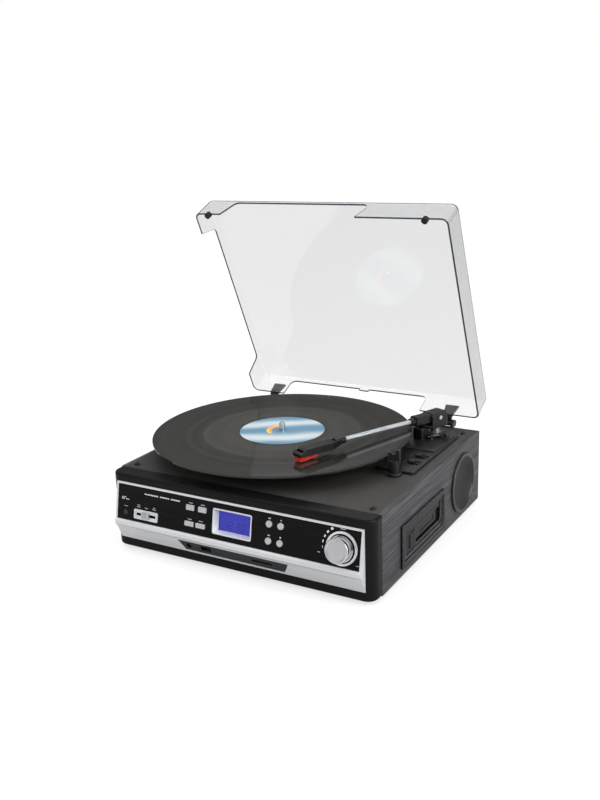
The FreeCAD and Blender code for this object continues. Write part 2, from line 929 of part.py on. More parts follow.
slope = new_body()
sketch = new_sketch(slope, "YZ_Plane")
insert_low = port_low + s.fit_gap
insert_high = port_high - s.fit_gap
face_low = band_at(insert_low) + s.port_recess
face_high = band_at(insert_high) + s.port_recess
outline(sketch, (face_high, insert_high), (face_low, insert_low),
        (face_low + s.port_thickness, insert_low), (face_high + s.port_thickness, insert_high))
pad(slope, sketch, s.port_top_half * 2, both=True)
shape = new_body()
sketch = new_sketch(shape, "XZ_Plane")
outline(sketch, (s.fit_gap - s.port_bottom_half, port_low), (s.port_bottom_half - s.fit_gap, port_low),
        (s.port_top_half - s.fit_gap, port_high), (s.fit_gap - s.port_top_half, port_high))
pad(shape, sketch, s.cabinet_depth)
insert = doc.addObject("Part::MultiCommon", "Common")
insert.Shapes = [slope, shape]
port_board_top = port_low + s.board_thickness
port_axis = port_board_top + s.socket_axis_height
insert_back = face_low + s.port_thickness
port_front = face_high - s.overrun
jack_mouth = cylinder(s.jack_mouth_radius, insert_back - port_front, (-s.jack_x, port_front, port_axis),
                      REAR_SIDE)


def opening(x, width, height):
    """A cutter for a rectangular port."""
    return block((x - width / 2, port_front, port_axis - height / 2),
                 (x + width / 2, insert_back, port_axis + height / 2))


usb_mouth = opening(-s.usb_x, s.usb_width - s.usb_wall * 2, s.usb_height - s.usb_wall * 2)
card_mouth = opening(s.card_x, s.card_slot_width, s.card_slot_height)
keep("port_insert", cut(insert, jack_mouth, usb_mouth, card_mouth))

# sockets behind the insert and in the rear panel
socket_y = insert_back + s.fit_gap


def front_socket(x, width, height, depth):
    return block((x - width / 2, socket_y, port_board_top),
                 (x + width / 2, socket_y + depth, port_axis + height / 2))


def front_slot(x, width, height, depth):
    return block((x - width / 2, socket_y - s.overrun, port_axis - height / 2),
                 (x + width / 2, socket_y + depth, port_axis + height / 2))


jack = cut(front_socket(-s.jack_x, s.jack_side, s.jack_side, s.jack_depth),
           cylinder(s.jack_radius, s.jack_bore + s.overrun, (-s.jack_x, socket_y - s.overrun, port_axis),
                    REAR_SIDE))
usb = cut(front_socket(-s.usb_x, s.usb_width, s.usb_height, s.usb_depth),
          front_slot(-s.usb_x, s.usb_width - s.usb_wall * 2, s.usb_height - s.usb_wall * 2, s.usb_bore))
card = cut(front_socket(s.card_x, s.card_width, s.card_height, s.card_depth),
           front_slot(s.card_x, s.card_slot_width, s.card_slot_height, s.card_bore))
sockets = [jack, usb, card]
for x in (s.line_x, s.line_x + s.line_pitch):
    tail = rear_y - s.rear_thickness - s.line_body
    mouth = rear_y + s.line_reach
    barrel = cylinder(s.line_barrel_radius, mouth - tail, (x, tail, s.line_height), REAR_SIDE)
    flange = cylinder(s.line_flange_radius, s.line_flange, (x, rear_y, s.line_height), REAR_SIDE)
    bore = cylinder(s.line_bore_radius, s.line_bore + s.overrun, (x, mouth - s.line_bore, s.line_height),
                    REAR_SIDE)
    sockets.append(cut(fused(barrel, flange), bore))
mouth = rear_y + s.line_flange
inlet_tail = rear_y - s.inlet_body
shell = fused(cylinder(s.inlet_radius, mouth - inlet_tail, (s.inlet_x, inlet_tail, s.line_height),
                       REAR_SIDE),
              cylinder(s.inlet_flange_radius, s.line_flange, (s.inlet_x, rear_y, s.line_height),
                       REAR_SIDE))
bore = cylinder(s.inlet_bore_radius, s.inlet_bore + s.overrun,
                (s.inlet_x, mouth - s.inlet_bore, s.line_height),
                REAR_SIDE)
contact = cylinder(s.inlet_pin_radius, mouth - inlet_tail, (s.inlet_x, inlet_tail, s.line_height),
                   REAR_SIDE)
sockets.append(fused(cut(shell, bore), contact))
keep("signal_sockets", group(*sockets))

# control panel: drawn flat, then leaned back into the window
panel_tilt = Size(RIGHT_ANGLE, str(RIGHT_ANGLE)) - s.panel_slant
panel_mid = (lip_top + window_high) / 2
panel_place = (0, trim_face - (trim_high - panel_mid) * tangent(s.panel_slant)
               + s.panel_recess * cosine(s.panel_slant), panel_mid - s.panel_recess * sine(s.panel_slant))
slope_half = (window_high - lip_top) / 2 / cosine(s.panel_slant)


def on_panel(thing):
    """Lean a piece that was drawn flat back with the control panel."""
    return set_turned(thing, panel_place, X_AXIS, panel_tilt)


display_body_width = s.display_width - s.display_rim
display_body_height = s.display_height - s.display_rim
key_buttons = (
    (-s.upper_button_outer, s.button_row, s.upper_button_width, s.upper_button_height),
    (-s.upper_button_inner, s.button_row, s.upper_button_width, s.upper_button_height),
    (-s.lower_button_outer, -s.button_row, s.lower_button_width, s.lower_button_height),
    (-s.lower_button_inner, -s.button_row, s.lower_button_width, s.lower_button_height),
)
round_buttons = [(x, y) for y in (s.button_row, -s.button_row)
                 for x in (s.round_button_inner, s.round_button_outer)]
panel = new_body()
sketch = new_sketch(panel, "XY_Plane")
panel_half = window_half - s.fit_gap
outline(sketch, (-panel_half, s.panel_foot_gap - slope_half), (panel_half, s.panel_foot_gap - slope_half),
        (panel_half, slope_half - s.fit_gap), (-panel_half, slope_half - s.fit_gap))
rectangle(sketch, s.display_x, 0, display_body_width + s.fit_gap * 2, display_body_height + s.fit_gap * 2)
for x, y, width, height in key_buttons:
    rectangle(sketch, x, y, width + s.moving_gap * 2, height + s.moving_gap * 2, s.button_corner)
for x, y in round_buttons:
    circle(sketch, x, y, s.round_button_radius + s.moving_gap)
rectangle(sketch, -s.switch_x, -s.switch_drop, s.slot_width, s.slot_height)
circle(sketch, -s.sensor_x, -s.sensor_drop, s.sensor_radius + s.fit_gap)
circle(sketch, s.volume_x, -s.volume_drop, s.shaft_hole_radius)
pad(panel, sketch, s.panel_thickness, reverse=True)
keep("control_panel", on_panel(panel))

# bezels on the panel: the display's funnel, the switch's frame and the ring round the knob
funnel = new_body()
sketch = new_sketch(funnel, "XY_Plane")
rectangle(sketch, s.display_x, 0, s.display_width, s.display_height, s.display_corner)
pad(funnel, sketch, s.display_proud)
sketch = new_sketch(funnel, "XY_Plane")
rectangle(sketch, s.display_x, 0, display_body_width, display_body_height)
pad(funnel, sketch, s.display_depth, reverse=True)
mouth = new_sketch(funnel, "XY_Plane", s.display_proud)
rectangle(mouth, s.display_x, 0, display_body_width - s.display_rim, display_body_height - s.display_rim)
throat = new_sketch(funnel, "XY_Plane", -s.display_depth)
rectangle(throat, s.display_x, 0, s.display_glass_width, s.display_glass_height)
loft = funnel.newObject("PartDesign::SubtractiveLoft", "Loft")
loft.Profile = mouth
loft.Sections = [throat]
loft.Ruled = True
on_panel(funnel)
switch = new_body()
sketch = new_sketch(switch, "XY_Plane")
rectangle(sketch, -s.switch_x, -s.switch_drop, s.switch_width, s.switch_height, s.switch_corner)
rectangle(sketch, -s.switch_x, -s.switch_drop, s.switch_width - s.switch_wall * 2,
          s.switch_height - s.switch_wall * 2)
pad(switch, sketch, s.switch_proud)
sketch = new_sketch(switch, "XY_Plane")
rectangle(sketch, -s.switch_x, -s.switch_drop, s.switch_width - s.switch_wall, s.switch_height - s.switch_wall)
rectangle(sketch, -s.switch_x, -s.switch_drop, s.slot_width, s.slot_height)
pad(switch, sketch, s.switch_floor)
on_panel(switch)
ring = new_body()
sketch = new_sketch(ring, "XY_Plane")
circle(sketch, s.volume_x, -s.volume_drop, s.ring_radius)
circle(sketch, s.volume_x, -s.volume_drop, s.ring_radius - s.ring_width)
pad(ring, sketch, s.ring_height)
on_panel(ring)
keep("panel_bezels", group(funnel, switch, ring))

# display module behind the funnel
half_glass_width = s.display_glass_width / 2 + s.display_rim
half_glass_height = s.display_glass_height / 2 + s.display_rim
module = block((s.display_x - half_glass_width, -half_glass_height,
                -s.display_depth - s.display_module_depth),
               (s.display_x + half_glass_width, half_glass_height, -s.display_depth))
keep("display_module", on_panel(group(module)))

# sensor window
sensor = cylinder(s.sensor_radius, s.panel_thickness + s.sensor_proud,
                  (-s.sensor_x, -s.sensor_drop, -s.panel_thickness))
keep("sensor_window", on_panel(group(sensor)))

# volume pot behind the panel, bored for the knob's shaft
pot_half = s.pot_side / 2
pot = block((s.volume_x - pot_half, -s.volume_drop - pot_half, -s.panel_thickness - s.pot_depth),
            (s.volume_x + pot_half, pot_half - s.volume_drop, -s.panel_thickness))
bore = cylinder(s.shaft_radius + s.running_gap, s.shaft_depth,
                (s.volume_x, -s.volume_drop, -s.shaft_depth - s.moving_gap))
keep("volume_pot", on_panel(cut(pot, bore)))

# boards: two behind the panel, one under the ports and the main board on the base
panel_board_top = -s.panel_thickness - s.panel_board_gap
boards = []
for low, high in ((-s.left_board_outer, -s.left_board_inner), (s.right_board_inner, s.right_board_outer)):
    half = s.panel_board_height / 2
    board = block((low, -half, panel_board_top - s.board_thickness), (high, half, panel_board_top))
    posts = [cylinder(s.board_post_radius, s.panel_board_gap, (x, y, panel_board_top))
             for x in (low + s.board_post_inset, high - s.board_post_inset)
             for y in (s.board_post_radius - half, half - s.board_post_radius)]
    boards.append(on_panel(fused(board, *posts)))
boards.append(block((-s.port_board_half, socket_y, port_low),
                    (s.port_board_half, socket_y + s.port_board_depth, port_board_top)))
main_low = base_top + s.main_board_post
main_front = front_y + s.main_board_front
main_back = main_front + s.main_board_length
main = block((-s.main_board_left, main_front, main_low),
             (-s.main_board_right, main_back, main_low + s.board_thickness))
posts = [cylinder(s.board_post_radius, s.main_board_post, (x, y, base_top))
         for x in (s.board_post_inset - s.main_board_left, -s.main_board_right - s.board_post_inset)
         for y in (main_front + s.board_post_inset, main_back - s.board_post_inset)]
boards.append(fused(main, *posts))
keep("circuit_boards", group(*boards))

# buttons: a cap in the panel's hole, with a flange behind the panel that holds it in
button_back = -s.panel_thickness - s.button_flange_gap
for number, (x, y, width, height) in enumerate(key_buttons, start=1):
    button = new_body()
    sketch = new_sketch(button, "XY_Plane", button_back)
    rectangle(sketch, x, y, width, height, s.button_corner)
    cap = pad(button, sketch, s.button_proud - button_back)
    edges = edges_where(cap, lambda spots: all(near(spot.z, s.button_proud) for spot in spots))
    dress(button, "Chamfer", cap, edges, s.button_edge)
    sketch = new_sketch(button, "XY_Plane", button_back)
    rectangle(sketch, x, y, width + s.button_flange * 2, height + s.button_flange * 2)
    pad(button, sketch, s.button_flange, reverse=True)
    keep(f"key_button_{number}", on_panel(button))
for number, (x, y) in enumerate(round_buttons, start=1):
    button = new_body()
    sketch = new_sketch(button, "XY_Plane", button_back)
    circle(sketch, x, y, s.round_button_radius)
    cap = pad(button, sketch, s.button_proud - button_back)
    edges = edges_where(cap, lambda spots: all(near(spot.z, s.button_proud) for spot in spots))
    dress(button, "Chamfer", cap, edges, s.button_edge)
    sketch = new_sketch(button, "XY_Plane", button_back)
    circle(sketch, x, y, s.round_button_radius + s.button_flange)
    pad(button, sketch, s.button_flange, reverse=True)
    keep(f"round_button_{number}", on_panel(button))

# function slider: a ridged thumb piece with a stem through the panel's slot
slider_low = s.switch_floor + s.moving_gap
thumb = block((-s.switch_x - s.slider_width / 2, -s.switch_drop - s.slider_height / 2, slider_low),
              (s.slider_width / 2 - s.switch_x, s.slider_height / 2 - s.switch_drop, s.slider_proud))
stem = block((-s.switch_x - s.slider_stem_width / 2, -s.switch_drop - s.slider_stem_height / 2,
              -s.panel_thickness - s.button_flange_gap),
             (s.slider_stem_width / 2 - s.switch_x, s.slider_stem_height / 2 - s.switch_drop,
              s.slider_proud / 2))
grooves = []
for step in (-1, 0, 1):
    middle = s.slider_width / 4 * step - s.switch_x
    half = s.slider_groove / 2
    grooves.append(block((middle - half, -s.switch_drop - s.slider_height,
                          s.slider_proud - s.slider_groove),
                         (middle + half, s.slider_height - s.switch_drop, s.slider_proud + s.overrun)))
keep("function_slider", on_panel(cut(fused(thumb, stem), *grooves)))

# volume knob on its shaft, with a pointer notch in the face
knob = new_body()
sketch = new_sketch(knob, "XZ_Plane")
knob_top = s.knob_lift + s.knob_height
skirt_top = s.knob_lift + s.knob_skirt_height
outline(sketch, (0, -s.shaft_depth), (s.shaft_radius, -s.shaft_depth), (s.shaft_radius, s.knob_lift),
        (s.knob_radius + s.knob_skirt, s.knob_lift), (s.knob_radius + s.knob_skirt, skirt_top),
        (s.knob_radius, skirt_top), (s.knob_radius, knob_top, s.knob_edge),
        (s.knob_radius - s.knob_edge * 2, knob_top),
        (s.knob_radius - s.knob_edge * 3, knob_top - s.knob_dish),
        (0, knob_top - s.knob_dish))
revolve(knob, sketch)
sketch = new_sketch(knob, "XY_Plane", knob_top + s.overrun)
rectangle(sketch, 0, s.knob_radius * 3 / 4, s.knob_notch_width, s.knob_radius / 4)
pocket(knob, sketch, s.overrun + s.knob_dish * 2)
set_place(knob, (s.volume_x, -s.volume_drop, 0))
keep("volume_knob", on_panel(group(knob)))

# speaker grilles and the drivers behind them, one each side
grilles = []
drivers = []
for side, turn in ((-1, LEFT_SIDE), (1, RIGHT_SIDE)):
    grille = new_body()
    sketch = new_sketch(grille, "XZ_Plane")
    ring_inner = s.grille_radius - s.grille_ring
    dish_floor = s.grille_proud - s.grille_dish
    outline(sketch, (0, dish_floor), (ring_inner * 2 / 3, dish_floor, s.grille_bowl),
            (ring_inner, s.grille_proud - s.grille_bead),
            (ring_inner + s.grille_bead, s.grille_proud, s.grille_bead / 2),
            (s.grille_radius, s.grille_proud, s.grille_bead), (s.grille_radius, 0),
            (ring_inner, 0), (ring_inner, -s.grille_thickness),
            (ring_inner * 2 / 3, dish_floor - s.grille_thickness, s.grille_bowl),
            (0, dish_floor - s.grille_thickness))
    revolve(grille, sketch)
    grilles.append(set_place(grille, (half_width * side, speaker_y, s.speaker_height), turn))
    driver = new_body()
    sketch = new_sketch(driver, "XZ_Plane")
    mount = -s.side_thickness
    basket = mount - s.driver_flange
    neck = basket - s.driver_cone_depth
    outline(sketch, (ring_inner, mount), (s.driver_flange_radius, mount), (s.driver_flange_radius, basket),
            (s.speaker_hole_radius, basket), (s.driver_neck_radius, neck), (s.driver_magnet_radius, neck),
            (s.driver_magnet_radius, neck - s.driver_magnet), (0, neck - s.driver_magnet),
            (0, neck + s.driver_flange), (s.driver_neck_radius / 2, neck + s.driver_flange))
    revolve(driver, sketch)
    drivers.append(set_place(driver, (half_width * side, speaker_y, s.speaker_height), turn))
keep("speaker_grilles", group(*grilles))
keep("speaker_drivers", group(*drivers))

# cassette bezel: stepped frames round the key's hole and the slot, on a collar through the side
slot_right = s.bezel_length - s.slot_back
slot_left = s.slot_front + s.key_width + s.key_gap * 2 + s.divider_width
slot_top = s.slot_bottom + s.slot_opening
bezel_place = (half_width, bezel_y, bezel_z)
bezel = new_body()
sketch = new_sketch(bezel, "XY_Plane")
outline(sketch, (0, 0, s.bezel_corner), (s.bezel_length, 0, s.bezel_corner),
        (s.bezel_length, s.bezel_height, s.bezel_corner), (0, s.bezel_height, s.bezel_corner))
solid = pad(bezel, sketch, s.bezel_proud)
edges = edges_where(solid, lambda spots: all(near(spot.z, s.bezel_proud) for spot in spots))
dress(bezel, "Chamfer", solid, edges, s.bezel_edge)
sketch = new_sketch(bezel, "XY_Plane")
rim = s.bezel_collar_inset
outline(sketch, (rim, rim), (s.bezel_length - rim, rim), (s.bezel_length - rim, s.bezel_height - rim),
        (rim, s.bezel_height - rim))
pad(bezel, sketch, s.bezel_collar_depth, reverse=True)
for step in (1, 2):
    rim = s.bezel_step_width * step
    sketch = new_sketch(bezel, "XY_Plane", s.bezel_proud)
    outline(sketch, (rim, rim), (s.bezel_length - rim, rim), (s.bezel_length - rim, s.bezel_height - rim),
            (rim, s.bezel_height - rim))
    pocket(bezel, sketch, s.bezel_step_depth * step)
sketch = new_sketch(bezel, "XY_Plane")
key_right = slot_left - s.divider_width
outline(sketch, (s.slot_front, s.slot_bottom), (key_right, s.slot_bottom), (key_right, slot_top),
        (s.slot_front, slot_top))
outline(sketch, (slot_left, s.slot_bottom), (slot_right, s.slot_bottom), (slot_right, slot_top),
        (slot_left, slot_top))
pocket(bezel, sketch)
step_floor = s.bezel_proud - s.bezel_step_depth * 2
flap_face = step_floor - s.flap_setback
flap_axis_z = flap_face - s.flap_thickness / 2
flap_axis_y = slot_top - s.flap_pin_drop
sketch = new_sketch(bezel, "YZ_Plane", (slot_left + slot_right) / 2)
circle(sketch, flap_axis_y, flap_axis_z, s.flap_pin_radius + s.running_gap)
slice_through(bezel, sketch, slot_right - slot_left + s.flap_pin_reach * 2)
keep("cassette_bezel", set_place(bezel, bezel_place, RIGHT_SIDE))

# flap that closes the slot and swings in round its top edge
flap = new_body()
flap_low = s.slot_bottom + s.key_gap
flap_left = slot_left + s.key_gap
flap_right = slot_right - s.key_gap
sketch = new_sketch(flap, "YZ_Plane", flap_left)
outline(sketch, (flap_low, flap_face - s.flap_thickness), (flap_low, flap_face),
        (slot_top - s.key_gap, flap_face), (slot_top - s.key_gap, flap_face - s.flap_thickness))
pad(flap, sketch, flap_right - flap_left)
sketch = new_sketch(flap, "YZ_Plane", (slot_left + slot_right) / 2)
circle(sketch, flap_axis_y, flap_axis_z, s.flap_pin_radius)
pad(flap, sketch, slot_right - slot_left + s.flap_pin_reach, both=True)
sketch = new_sketch(flap, "XY_Plane", flap_face)
rectangle(sketch, (slot_left + slot_right) / 2, (flap_low + slot_top) / 2, s.flap_rib_length,
          s.flap_rib_height)
pocket(flap, sketch, s.flap_rib_depth)
keep("cassette_flap", set_place(flap, bezel_place, RIGHT_SIDE))

# eject key beside the slot
key = new_body()
sketch = new_sketch(key, "XY_Plane", step_floor + s.key_proud)
outline(sketch, (s.slot_front + s.key_gap, flap_low), (key_right - s.key_gap, flap_low),
        (key_right - s.key_gap, slot_top - s.key_gap), (s.slot_front + s.key_gap, slot_top - s.key_gap))
cap = pad(key, sketch, s.key_depth, reverse=True)
edges = edges_where(cap, lambda spots: all(near(spot.z, step_floor + s.key_proud) for spot in spots))
dress(key, "Fillet", cap, edges, s.key_edge)
keep("cassette_key", set_place(key, bezel_place, RIGHT_SIDE))

# cassette mechanism: a carriage open to the slot, on legs
carriage = new_body()
grow = s.fit_gap + s.carriage_wall
sketch = new_sketch(carriage, "XY_Plane", -s.bezel_collar_depth)
outline(sketch, (slot_left - grow, s.slot_bottom - grow), (slot_right + grow, s.slot_bottom - grow),
        (slot_right + grow, slot_top + grow), (slot_left - grow, slot_top + grow))
pad(carriage, sketch, s.carriage_depth, reverse=True)
sketch = new_sketch(carriage, "XY_Plane", -s.bezel_collar_depth)
outline(sketch, (slot_left - s.fit_gap, s.slot_bottom - s.fit_gap),
        (slot_right + s.fit_gap, s.slot_bottom - s.fit_gap),
        (slot_right + s.fit_gap, slot_top + s.fit_gap), (slot_left - s.fit_gap, slot_top + s.fit_gap))
pocket(carriage, sketch, s.carriage_depth - s.carriage_wall)
for spot in (s.carriage_leg, s.carriage_depth - s.carriage_leg * 2):
    sketch = new_sketch(carriage, "XY_Plane", -s.bezel_collar_depth - spot)
    outline(sketch, (slot_left - grow, base_top - bezel_z), (slot_right + grow, base_top - bezel_z),
            (slot_right + grow, s.slot_bottom - grow), (slot_left - grow, s.slot_bottom - grow))
    pad(carriage, sketch, s.carriage_leg, reverse=True)
keep("cassette_mechanism", set_place(carriage, bezel_place, RIGHT_SIDE))

# platter: a disc on a drive ring, a hub and ribs between them
mat_top = record_top - s.record_thickness
mat_low = mat_top - s.mat_thickness
disc_low = mat_low - s.platter_thickness
ring_low = disc_low - s.drive_ring_height
platter_bore = s.spindle_radius + s.running_gap
ring_inner = s.drive_ring_radius - s.drive_ring_wall
platter = new_body()
sketch = new_sketch(platter, "XZ_Plane")
outline(sketch, (platter_bore, ring_low), (s.platter_hub_radius, ring_low),
        (s.platter_hub_radius, disc_low),
        (ring_inner, disc_low), (ring_inner, ring_low), (s.drive_ring_radius, ring_low),
        (s.drive_ring_radius, disc_low), (s.platter_radius, disc_low),
        (s.platter_radius, mat_low, s.platter_edge), (platter_bore, mat_low))
revolve(platter, sketch)
rib_length = ring_inner - s.platter_hub_radius + s.platter_rib
sketch = new_sketch(platter, "XY_Plane", disc_low)
rectangle(sketch, (ring_inner + s.platter_hub_radius) / 2, 0, rib_length, s.platter_rib)
rib = pad(platter, sketch, s.drive_ring_height - s.platter_rib, reverse=True)
spokes = platter.newObject("PartDesign::PolarPattern", "Spokes")
spokes.Originals = [rib]
spokes.Axis = (sketch, ["N_Axis"])
spokes.Angle = FULL_TURN
spokes.Occurrences = 10
platter.Tip = spokes
keep("platter", set_place(platter, (record_x, record_y, 0)))

# mat on the platter
mat = new_body()
sketch = new_sketch(mat, "XY_Plane", mat_low)
circle(sketch, 0, 0, s.mat_radius)
circle(sketch, 0, 0, s.record_hole_radius)
pad(mat, sketch, s.mat_thickness)
keep("platter_mat", set_place(mat, (record_x, record_y, 0)))

# record: the grooved surface lies a little below the rim and the label
record = new_body()
sketch = new_sketch(record, "XZ_Plane")
groove_top = record_top - s.record_rim_rise
edge_step = s.record_rim_rise
outline(sketch, (s.record_hole_radius, mat_top), (s.record_radius - edge_step, mat_top),
        (s.record_radius, mat_top + edge_step), (s.record_radius, record_top - edge_step),
        (s.record_radius - edge_step, record_top), (s.record_radius - s.record_rim, record_top),
        (s.record_radius - s.record_rim - edge_step * 2, groove_top),
        (s.label_radius + edge_step, groove_top),
        (s.label_radius, record_top), (s.record_hole_radius, record_top))
revolve(record, sketch)
keep("record", set_place(record, (record_x, record_y, 0)))

# spindle: a collar centres the record, above it a slimmer domed tip, below it a shaft in a bush
spindle_low = deck_top - s.spindle_foot + s.moving_gap
tip_top = record_top + s.spindle_tip_length
spindle = new_body()
sketch = new_sketch(spindle, "XZ_Plane")
collar_top = record_top + s.spindle_collar_rise
outline(sketch, (0, spindle_low), (s.spindle_radius, spindle_low), (s.spindle_radius, mat_low),
        (s.spindle_collar_radius, mat_low), (s.spindle_collar_radius, collar_top),
        (s.spindle_tip_radius, collar_top), (s.spindle_tip_radius, tip_top),
        (s.spindle_tip_radius / 2, tip_top + s.spindle_dome, s.spindle_tip_radius / 3),
        (0, tip_top + s.spindle_dome))
revolve(spindle, sketch)
keep("spindle", set_place(spindle, (record_x, record_y, 0)))
bush = new_body()
sketch = new_sketch(bush, "XZ_Plane")
bush_floor = deck_top - s.spindle_foot
bush_bore = s.spindle_radius + s.running_gap
bush_top = deck_top + s.bush_flange
bush_out = s.bush_radius - s.running_gap
outline(sketch, (0, bush_floor - s.bush_floor), (bush_out, bush_floor - s.bush_floor),
        (bush_out, deck_top),
        (s.bush_flange_radius, deck_top), (s.bush_flange_radius, bush_top), (bush_bore, bush_top),
        (bush_bore, bush_floor), (0, bush_floor))
revolve(bush, sketch)
keep("bearing_bush", set_place(bush, (record_x, record_y, 0)))

# motor under the deck, its pulley, and the belt round the pulley and the drive ring
pulley_low = deck_top + s.pulley_rise
pulley_top = pulley_low + s.pulley_height
shaft_low = deck_top - s.motor_shaft_depth
motor = fused(cylinder(s.motor_radius, s.motor_height, (motor_x, record_y, deck_under - s.motor_height)),
              cylinder(s.motor_collar_radius, s.motor_collar, (motor_x, record_y, deck_under)))
bore = cylinder(s.motor_shaft_radius + s.running_gap, deck_top - shaft_low,
                (motor_x, record_y, shaft_low - s.moving_gap))
keep("drive_motor", cut(motor, bore))
pulley = new_body()
sketch = new_sketch(pulley, "XZ_Plane")
flange = s.pulley_radius + s.pulley_flange
outline(sketch, (0, shaft_low), (s.motor_shaft_radius, shaft_low), (s.motor_shaft_radius, pulley_low),
        (flange, pulley_low), (flange, pulley_low + s.pulley_lip),
        (s.pulley_radius, pulley_low + s.pulley_lip),
        (s.pulley_radius, pulley_top - s.pulley_lip), (flange, pulley_top - s.pulley_lip),
        (flange, pulley_top),
        (0, pulley_top))
revolve(pulley, sketch)
keep("motor_pulley", set_place(pulley, (motor_x, record_y, 0)))


def belt_loop(sketch, grow):
    """One edge of the belt: two arcs and the two straight runs that touch them."""
    wheels = ((Vector(), s.drive_ring_radius + grow),
              (point(-s.pulley_distance, 0, 0), s.pulley_radius + grow))
    lean = math.acos((wheels[1][1].value - wheels[0][1].value) / s.pulley_distance.value)
    spans = ((-lean, lean), (lean, 2 * math.pi - lean))
    arcs = []
    for (middle, radius), span in zip(wheels, spans):
        arc = sketch.addGeometry(Part.ArcOfCircle(Part.Circle(middle, Z_AXIS, radius.value), *span))
        constrain(sketch, radius, "Radius", arc)
        arcs.append(arc)
    sketch.addConstraint(Sketcher.Constraint("Coincident", arcs[0], 3, -1, 1))
    pin(sketch, arcs[1], 3, -s.pulley_distance, 0)
    for start, end in ((arcs[0], arcs[1]), (arcs[1], arcs[0])):
        ends = [sketch.getPoint(start, 2), sketch.getPoint(end, 1)]
        run = sketch.addGeometry(Part.LineSegment(*ends))
        sketch.addConstraint(Sketcher.Constraint("Tangent", start, 2, run, 1))
        sketch.addConstraint(Sketcher.Constraint("Tangent", run, 2, end, 1))


belt = new_body()
sketch = new_sketch(belt, "XY_Plane", (pulley_low + pulley_top) / 2)
belt_loop(sketch, s.moving_gap)
belt_loop(sketch, s.moving_gap + s.belt_thickness)
pad(belt, sketch, s.belt_width, both=True)
keep("drive_belt", set_place(belt, (record_x, record_y, 0)))

# tonearm plate: two tiers on the deck, with two switch wells in the lower one
plate_top = deck_top + s.plate_height + s.plate_step_height
plate = new_body()
sketch = new_sketch(plate, "XY_Plane", deck_top)
plate_left = pivot_x - s.plate_left
plate_right = pivot_x + s.plate_right
plate_front = pivot_y - s.plate_front
plate_back = pivot_y + s.plate_back
outline(sketch, (plate_left, plate_front, s.plate_corner), (plate_right, plate_front, s.plate_corner),
        (plate_right, plate_back, s.plate_rear_corner), (plate_left, plate_back, s.plate_corner))
solid = pad(plate, sketch, s.plate_height)
edges = edges_where(solid, lambda spots: all(near(spot.z, deck_top + s.plate_height) for spot in spots))
dress(plate, "Chamfer", solid, edges, s.plate_edge)
step_left = plate_left + s.plate_step_inset
step_right = plate_right - s.plate_step_inset
step_back = plate_back - s.plate_step_inset
sketch = new_sketch(plate, "XY_Plane", deck_top + s.plate_height)
step_front = pivot_y - s.plate_step_front
outline(sketch, (step_left, step_front, s.plate_corner), (step_right, step_front, s.plate_corner),
        (step_right, step_back, s.plate_rear_corner - s.plate_step_inset),
        (step_left, step_back, s.plate_corner))
pad(plate, sketch, s.plate_step_height)
well_floor = deck_top + s.plate_height - s.well_depth
well_x = pivot_x + s.well_right
autostop_y = pivot_y - s.autostop_front
speed_y = pivot_y - s.speed_front
for y in (autostop_y, speed_y):
    sketch = new_sketch(plate, "XY_Plane", deck_top + s.plate_height)
    rectangle(sketch, well_x, y, s.well_width, s.well_length, s.well_corner)
    pocket(plate, sketch, s.well_depth)
    sketch = new_sketch(plate, "XY_Plane", deck_top + s.plate_height)
    rectangle(sketch, well_x, y, s.knob_slot_width, s.knob_slot_length)
    pocket(plate, sketch, s.plate_height)

# lugs for the cueing lever stand on the plate
lever_z = plate_top + s.lever_rise
lever_place = (pivot_x + s.lever_right, pivot_y - s.lever_front, lever_z)
lugs = []
for spot in (s.lever_lug_inset, s.lever_length - s.lever_lug_inset - s.lever_lug_width):
    half = s.lever_lug_length / 2
    lugs.append(block((spot, -half, -s.lever_rise), (spot + s.lever_lug_width, half, half)))
bore = cylinder(s.lever_radius + s.running_gap, s.lever_length + s.overrun * 2, (-s.overrun, 0, 0),
                FreeCAD.Rotation(Y_AXIS, RIGHT_ANGLE))
stand = set_turned(cut(group(*lugs), bore), lever_place, Z_AXIS, s.lever_heading)
keep("tonearm_plate", fused(plate, stand))

# cueing lever: a rod in the lugs, a collar that keeps it there, and a cranked handle at its end
ALONG = FreeCAD.Rotation(Y_AXIS, RIGHT_ANGLE)
rod = cylinder(s.lever_radius, s.lever_length, (0, 0, 0), ALONG)
collar_start = s.lever_lug_inset + s.lever_lug_width + s.moving_gap
collar = cylinder(s.lever_grip_radius, s.lever_length - s.lever_lug_inset * 2 - s.lever_lug_width * 2
                  - s.moving_gap * 2, (collar_start, 0, 0), ALONG)
ACROSS = FreeCAD.Rotation(X_AXIS, RIGHT_ANGLE)
handle = cylinder(s.lever_handle_radius, s.lever_handle, (s.lever_length, s.lever_handle_radius, 0),
                  ACROSS)
grip = cylinder(s.lever_grip_radius, s.lever_grip, (s.lever_length, s.lever_grip - s.lever_handle, 0),
                ACROSS)
keep("cue_lever", set_turned(fused(rod, collar, handle, grip), lever_place, Z_AXIS, s.lever_heading))

# slide knobs in the two wells
for label, y in (("autostop_slider", autostop_y), ("speed_slider", speed_y)):
    low = well_floor + s.moving_gap
    half_wide = s.slide_knob_width / 2
    half_long = s.slide_knob_length / 2
    half_stem = s.slide_stem / 2
    knob = block((well_x - half_wide, y - half_long, low),
                 (well_x + half_wide, y + half_long, low + s.slide_knob_height))
    stem = block((well_x - half_stem, y - half_stem, deck_top + s.moving_gap),
                 (well_x + half_stem, y + half_stem, low))
    notch = block((well_x - half_stem / 2, y - s.slide_knob_length, low + s.slide_knob_height * 3 / 4),
                  (well_x + half_stem / 2, y + s.slide_knob_length, low + s.slide_knob_height + s.overrun))
    keep(label, cut(fused(knob, stem), notch))

